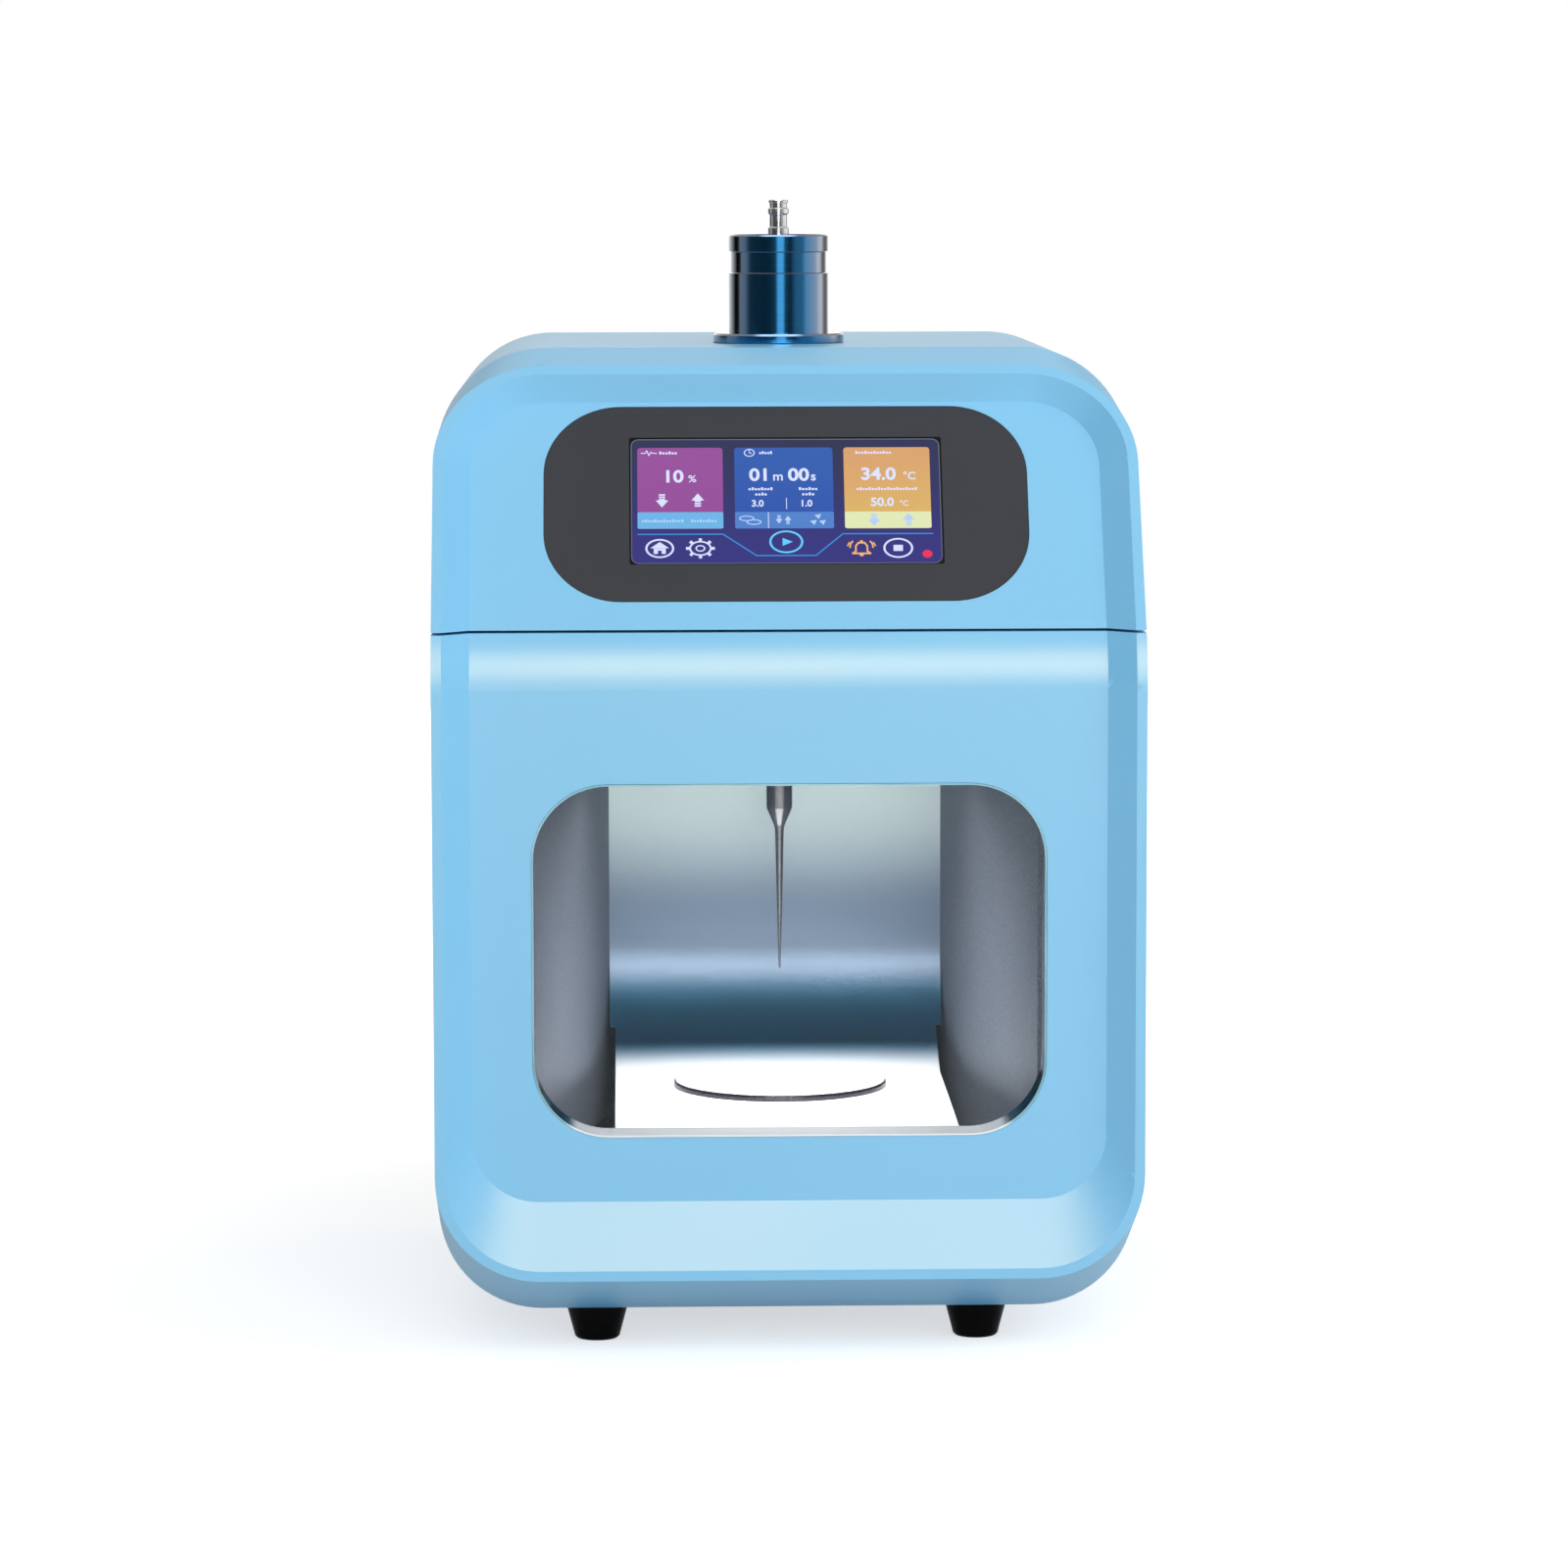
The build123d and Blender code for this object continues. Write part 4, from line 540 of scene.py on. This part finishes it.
# Left, right and height of each row of bars that stands for a caption
captions = ((-48.4, -41.3, 93.0), (-10.0, -4.8, 93.0), (27.0, 41.0, 93.0), (-14.3, -4.8, 77.2), (-11.8, -7.0, 74.9),
            (5.0, 12.4, 77.2), (6.2, 11.2, 74.9), (27.1, 50.6, 77.1))
dividers = ((0.0, 0.3, 68.4, 73.2), (-7.0, -6.7, 60.2, 67.0))
clockHands = ((-13.8, 94.2), (-13.8, 93.0), (-12.9, 92.7))
pulse = ((-55.4, 92.9), (-53.8, 92.9), (-53.2, 94.0), (-52.4, 91.9), (-51.6, 93.4), (-50.9, 92.9), (-49.4, 92.9))


# The white symbols and all readings
def paleMarks(shape):
    for words, size, x, y, stretch, weight in readings:
        addText(shape, words, size, x, y, stretch, weight)
    for x, way in ((-47.5, -1), (-33.8, 1)):
        addArrow(shape, x, 72.3, 4.8, 6.0, way)
    for left, right, low, high in dividers:
        addPlate(shape, left, right, low, high, 0)
    for left, right, level in captions:
        addWordBars(shape, left, right, level)
    addRing(shape, -13.8, 93.0, 2.1, 1.7, 0.4)
    addLine(shape, clockHands, 0.3)
    addLine(shape, pulse, 0.35)
    homeMark(shape)
    gearMark(shape)
    stopMark(shape)


# A caption shown as a row of short plain bars
def addWordBars(shape, left, right, level):
    steps = max(2, round((right - left) / 1.15))
    pitch = (right - left) / steps
    for k in range(steps):
        tall = 0.55 if (k * 7 + steps) % 3 else 0.8
        addPlate(shape, left + k * pitch, left + k * pitch + pitch * 0.72, level - 0.55, level - 0.55 + tall * 1.5, 0)


def cyanMarks(shape):
    x, y, wide, tall = icons["play"]
    addRing(shape, x, y, wide, tall, 0.85)
    addShape(shape, [(x - 1.4, y - 1.7), (x + 2.5, y), (x - 1.4, y + 1.7)])


# Symbols in the strips: a loop, two swapped arrows, three arrows in a ring, and two faint arrows
def softMarks(shape):
    addRing(shape, -15.2, 64.4, 2.9, 1.2, 0.5)
    addRing(shape, -12.4, 62.8, 2.9, 1.2, 0.5)
    addArrow(shape, -2.8, 64.0, 2.6, 3.8, -1)
    addArrow(shape, 0.6, 63.6, 2.6, 3.8, 1)
    for k in range(3):
        angle = math.radians(120 * k + 90)
        x, y = 12.2 + 2.0 * math.cos(angle), 63.6 + 1.7 * math.sin(angle)
        turn = angle + math.radians(70)
        addShape(shape, [(x + 1.5 * math.cos(turn + a), y + 1.3 * math.sin(turn + a)) for a in (0, 2.1, 4.2)])
    addArrow(shape, 33.6, 63.7, 4.6, 5.4, -1)
    addArrow(shape, 46.8, 63.7, 4.6, 5.4, 1)
    addWordBars(shape, -55.2, -39.0, 63.4)
    addWordBars(shape, -36.5, -26.5, 63.4)


# The thin pale frame around the lit field, rounded at its corners
def borderLine(shape):
    loops = []
    for inset in (0, lit["line"]):
        wide = lit["half"] - inset
        addPlate(shape, -wide, wide, lit["low"] + inset, lit["high"] - inset, lit["radius"] - inset)
        shape.faces.ensure_lookup_table()
        face = shape.faces[-1]
        loops.append(list(face.edges))
        bmesh.ops.delete(shape, geom=[face], context="FACES_ONLY")
    bmesh.ops.bridge_loops(shape, edges=loops[0] + loops[1])


# The foot's colour, the top's colour, the layer and the drawing
screenColours = {
    "screenField": ((0.036, 0.034, 0.20), (0.030, 0.034, 0.080), "field",
                    lambda shape: addPlate(shape, -lit["half"], lit["half"], lit["low"], lit["high"], lit["radius"])),
    "tilePower": ((0.25, 0.066, 0.275), (0.28, 0.078, 0.30), "tile", tilePlate("power")),
    "tileClock": ((0.026, 0.075, 0.35), (0.034, 0.105, 0.39), "tile", tilePlate("clock")),
    "tileHeat": ((0.64, 0.47, 0.10), (0.62, 0.31, 0.15), "tile", tilePlate("heat")),
    "stripPower": ((0.13, 0.40, 0.70), (0.15, 0.42, 0.72), "strip", stripPlate("power")),
    "stripClock": ((0.07, 0.19, 0.52), (0.09, 0.22, 0.56), "strip", stripPlate("clock")),
    "stripHeat": ((0.66, 0.72, 0.42), (0.68, 0.72, 0.40), "strip", stripPlate("heat")),
    "marksPale": ((0.62, 0.66, 0.90), (0.66, 0.70, 0.90), "mark", paleMarks),
    "marksCyan": ((0.12, 0.52, 0.86), (0.14, 0.56, 0.90), "mark", cyanMarks),
    "marksSoft": ((0.40, 0.55, 0.82), (0.44, 0.58, 0.84), "mark", softMarks),
    "markBell": ((0.82, 0.42, 0.15), (0.84, 0.42, 0.16), "mark", bellMark),
    "markDot": ((0.72, 0.03, 0.09), (0.75, 0.04, 0.1), "mark", lambda shape: addDisc(shape, *icons["dot"])),
    "railLine": ((0.04, 0.23, 0.62), (0.05, 0.26, 0.66), "mark", lambda shape: addLine(shape, icons["rail"], 0.5)),
    "screenBorder": ((0.10, 0.105, 0.16), (0.125, 0.135, 0.17), "tile", borderLine),
}
for name, (colour, endColour, level, build) in screenColours.items():
    drawOnScreen(name, lift[level], colour, endColour, build)
print("screen drawn:", len(screenColours), "pieces")

# Room and light: a white floor that keeps the shadow near the object and is plain white further off
room = {"floorSize": 5.0, "floor": (0.72, 0.72, 0.72), "nearGlow": 0.62, "farGlow": 1.0, "near": 0.2, "far": 0.75,
        "mirrored": 0.55, "soft": 0.38, "above": 0.5, "zenith": 2.6}
# What shines at the height of the object, by its direction: degrees round from the front, and strength
around = ((-180, 1.3), (-146, 0.7), (-122, 0.0), (-108, 0.01), (-101, 0.42), (-86, 0.42), (-72, 0.08), (-30, 0.05),
          (-7, 0.08), (-2, 1.35), (9, 1.35), (14, 0.08), (28, 0.05), (38, 0.34), (58, 0.46), (66, 0.85), (98, 0.85),
          (106, 1.15), (117, 1.1), (130, 0.25), (142, 0.2), (180, 1.3))


# 1 for what the camera sees, also through glass, and a given share for what gloss reflects
def seenOrReflected(tree, share):
    path = addNode(tree, "ShaderNodeLightPath").outputs
    first = addNode(tree, "ShaderNodeMath", {0: path["Is Camera Ray"], 1: path["Is Transmission Ray"]},
                    operation="MAXIMUM")
    second = addNode(tree, "ShaderNodeMath", {0: path["Is Glossy Ray"], 1: share}, operation="MULTIPLY")
    either = addNode(tree, "ShaderNodeMath", {0: first.outputs[0], 1: second.outputs[0]}, operation="MAXIMUM")
    return either.outputs[0]


def makeFloor(spec):
    shape = bmesh.new()
    bmesh.ops.create_grid(shape, x_segments=2, y_segments=2, size=spec["floorSize"] / 2)
    mesh = bpy.data.meshes.new("floor")
    shape.to_mesh(mesh)
    shape.free()
    floor = bpy.data.objects.new("floor", mesh)
    bpy.context.scene.collection.objects.link(floor)
    material = bpy.data.materials.new("floorPaper")
    material.use_nodes = True
    tree = material.node_tree
    shader = tree.nodes["Principled BSDF"]
    shader.inputs["Base Color"].default_value = (*spec["floor"], 1)
    shader.inputs["Roughness"].default_value = 0.9
    shader.inputs["Specular IOR Level"].default_value = 0.2
    shader.inputs["Emission Color"].default_value = (1, 1, 1, 1)
    place = addNode(tree, "ShaderNodeTexCoord").outputs["Object"]
    away = addNode(tree, "ShaderNodeVectorMath", {0: place}, operation="LENGTH").outputs["Value"]
    glow = addNode(tree, "ShaderNodeMapRange", {"Value": away, "From Min": spec["near"], "From Max": spec["far"],
                                                "To Min": spec["nearGlow"], "To Max": spec["farGlow"]},
                   interpolation_type="SMOOTHSTEP")
    shown = addNode(tree, "ShaderNodeMath", {0: glow.outputs[0], 1: seenOrReflected(tree, spec["mirrored"])},
                    operation="MULTIPLY")
    tree.links.new(shown.outputs[0], shader.inputs["Emission Strength"])
    mesh.materials.append(material)


# White behind the object, a studio's dark and bright fields in what gloss reflects, and soft grey light for the rest
def makeWorld(spec):
    world = bpy.data.worlds.new("studio")
    bpy.context.scene.world = world
    world.use_nodes = True
    tree = world.node_tree
    back = tree.nodes["Background"]
    back.inputs["Color"].default_value = (1, 1, 1, 1)
    way = addNode(tree, "ShaderNodeTexCoord").outputs["Generated"]
    parts = addNode(tree, "ShaderNodeSeparateXYZ", {"Vector": way}).outputs
    ahead = addNode(tree, "ShaderNodeMath", {0: parts["Y"], 1: -1.0}, operation="MULTIPLY").outputs[0]
    angle = addNode(tree, "ShaderNodeMath", {0: parts["X"], 1: ahead}, operation="ARCTAN2").outputs[0]
    turn = addNode(tree, "ShaderNodeMapRange", {"Value": angle, "From Min": -math.pi, "From Max": math.pi}).outputs[0]
    ramp = addNode(tree, "ShaderNodeValToRGB")
    stops = ramp.color_ramp.elements
    while len(stops) < len(around):
        stops.new(0.5)
    top = max(value for degrees, value in around)
    for stop, (degrees, value) in zip(stops, around):
        stop.position = (degrees + 180) / 360
        stop.color = (value / top, value / top, value / top, 1)
    tree.links.new(turn, ramp.inputs[0])
    belt = addNode(tree, "ShaderNodeMath", {0: ramp.outputs[0], 1: top}, operation="MULTIPLY").outputs[0]
    high = addNode(tree, "ShaderNodeMapRange", {"Value": parts["Z"], "From Min": 0.25, "From Max": 0.6}).outputs[0]
    summit = addNode(tree, "ShaderNodeMapRange", {"Value": parts["Z"], "From Min": 0.92, "From Max": 0.97,
                                                  "To Min": spec["above"], "To Max": spec["zenith"]}).outputs[0]
    gloss = addNode(tree, "ShaderNodeMix", {0: high, 2: belt, 3: summit}).outputs[0]
    path = addNode(tree, "ShaderNodeLightPath").outputs
    seen = addNode(tree, "ShaderNodeMath", {0: path["Is Camera Ray"], 1: path["Is Transmission Ray"]},
                   operation="MAXIMUM").outputs[0]
    plain = addNode(tree, "ShaderNodeMix", {0: path["Is Glossy Ray"], 2: spec["soft"], 3: gloss}).outputs[0]
    level = addNode(tree, "ShaderNodeMix", {0: seen, 2: plain, 3: 1.0}).outputs[0]
    tree.links.new(level, back.inputs["Strength"])


lamps = {
    "keyBox": {"place": (0.2, -2.5, 1.36), "aim": (0, -0.14, 0.25), "size": (1.6, 1.7), "watts": 31,
               "colour": (1, 1, 1)},
    "bandBox": {"place": (0.1, -2.5, 1.3), "aim": (0, -0.14, 0.25), "size": (1.5, 1.3), "watts": 22,
                "colour": (1, 1, 1), "glossOnly": True},
    "rightBox": {"place": (1.9, -1.2, 1.3), "aim": (0, 0, 0.2), "size": (0.9, 1.1), "watts": 14, "colour": (1, 1, 1),
                "diffuseOnly": True},
    "backBox": {"place": (0.0, 1.9, 2.1), "aim": (0, 0, 0.35), "size": (2.0, 0.8), "watts": 6, "colour": (1, 1, 1),
                "glossOnly": True},
    "chamberLamp": {"place": (0, -0.035, 0.222), "aim": (0, -0.035, 0.0), "size": (0.14, 0.10), "watts": 0.25,
                    "colour": (1, 1, 1), "diffuseOnly": True, "spread": 90},
}


def makeLamp(name, spec):
    data = bpy.data.lights.new(name, "AREA")
    data.shape = "RECTANGLE"
    data.size, data.size_y = spec["size"]
    data.energy, data.color = spec["watts"], spec["colour"]
    data.spread = math.radians(spec.get("spread", 180))
    lamp = bpy.data.objects.new(name, data)
    ahead = Vector(spec["aim"]) - Vector(spec["place"])
    lamp.location = spec["place"]
    lamp.rotation_euler = ahead.to_track_quat("-Z", "Y").to_euler()
    lamp.visible_camera = False
    lamp.visible_diffuse = not spec.get("glossOnly", False)
    lamp.visible_glossy = not spec.get("diffuseOnly", False)
    bpy.context.scene.collection.objects.link(lamp)


makeFloor(room)
makeWorld(room)
for name, spec in lamps.items():
    makeLamp(name, spec)
bpy.context.scene.view_settings.view_transform = "Standard"
print("room and lamps ready")
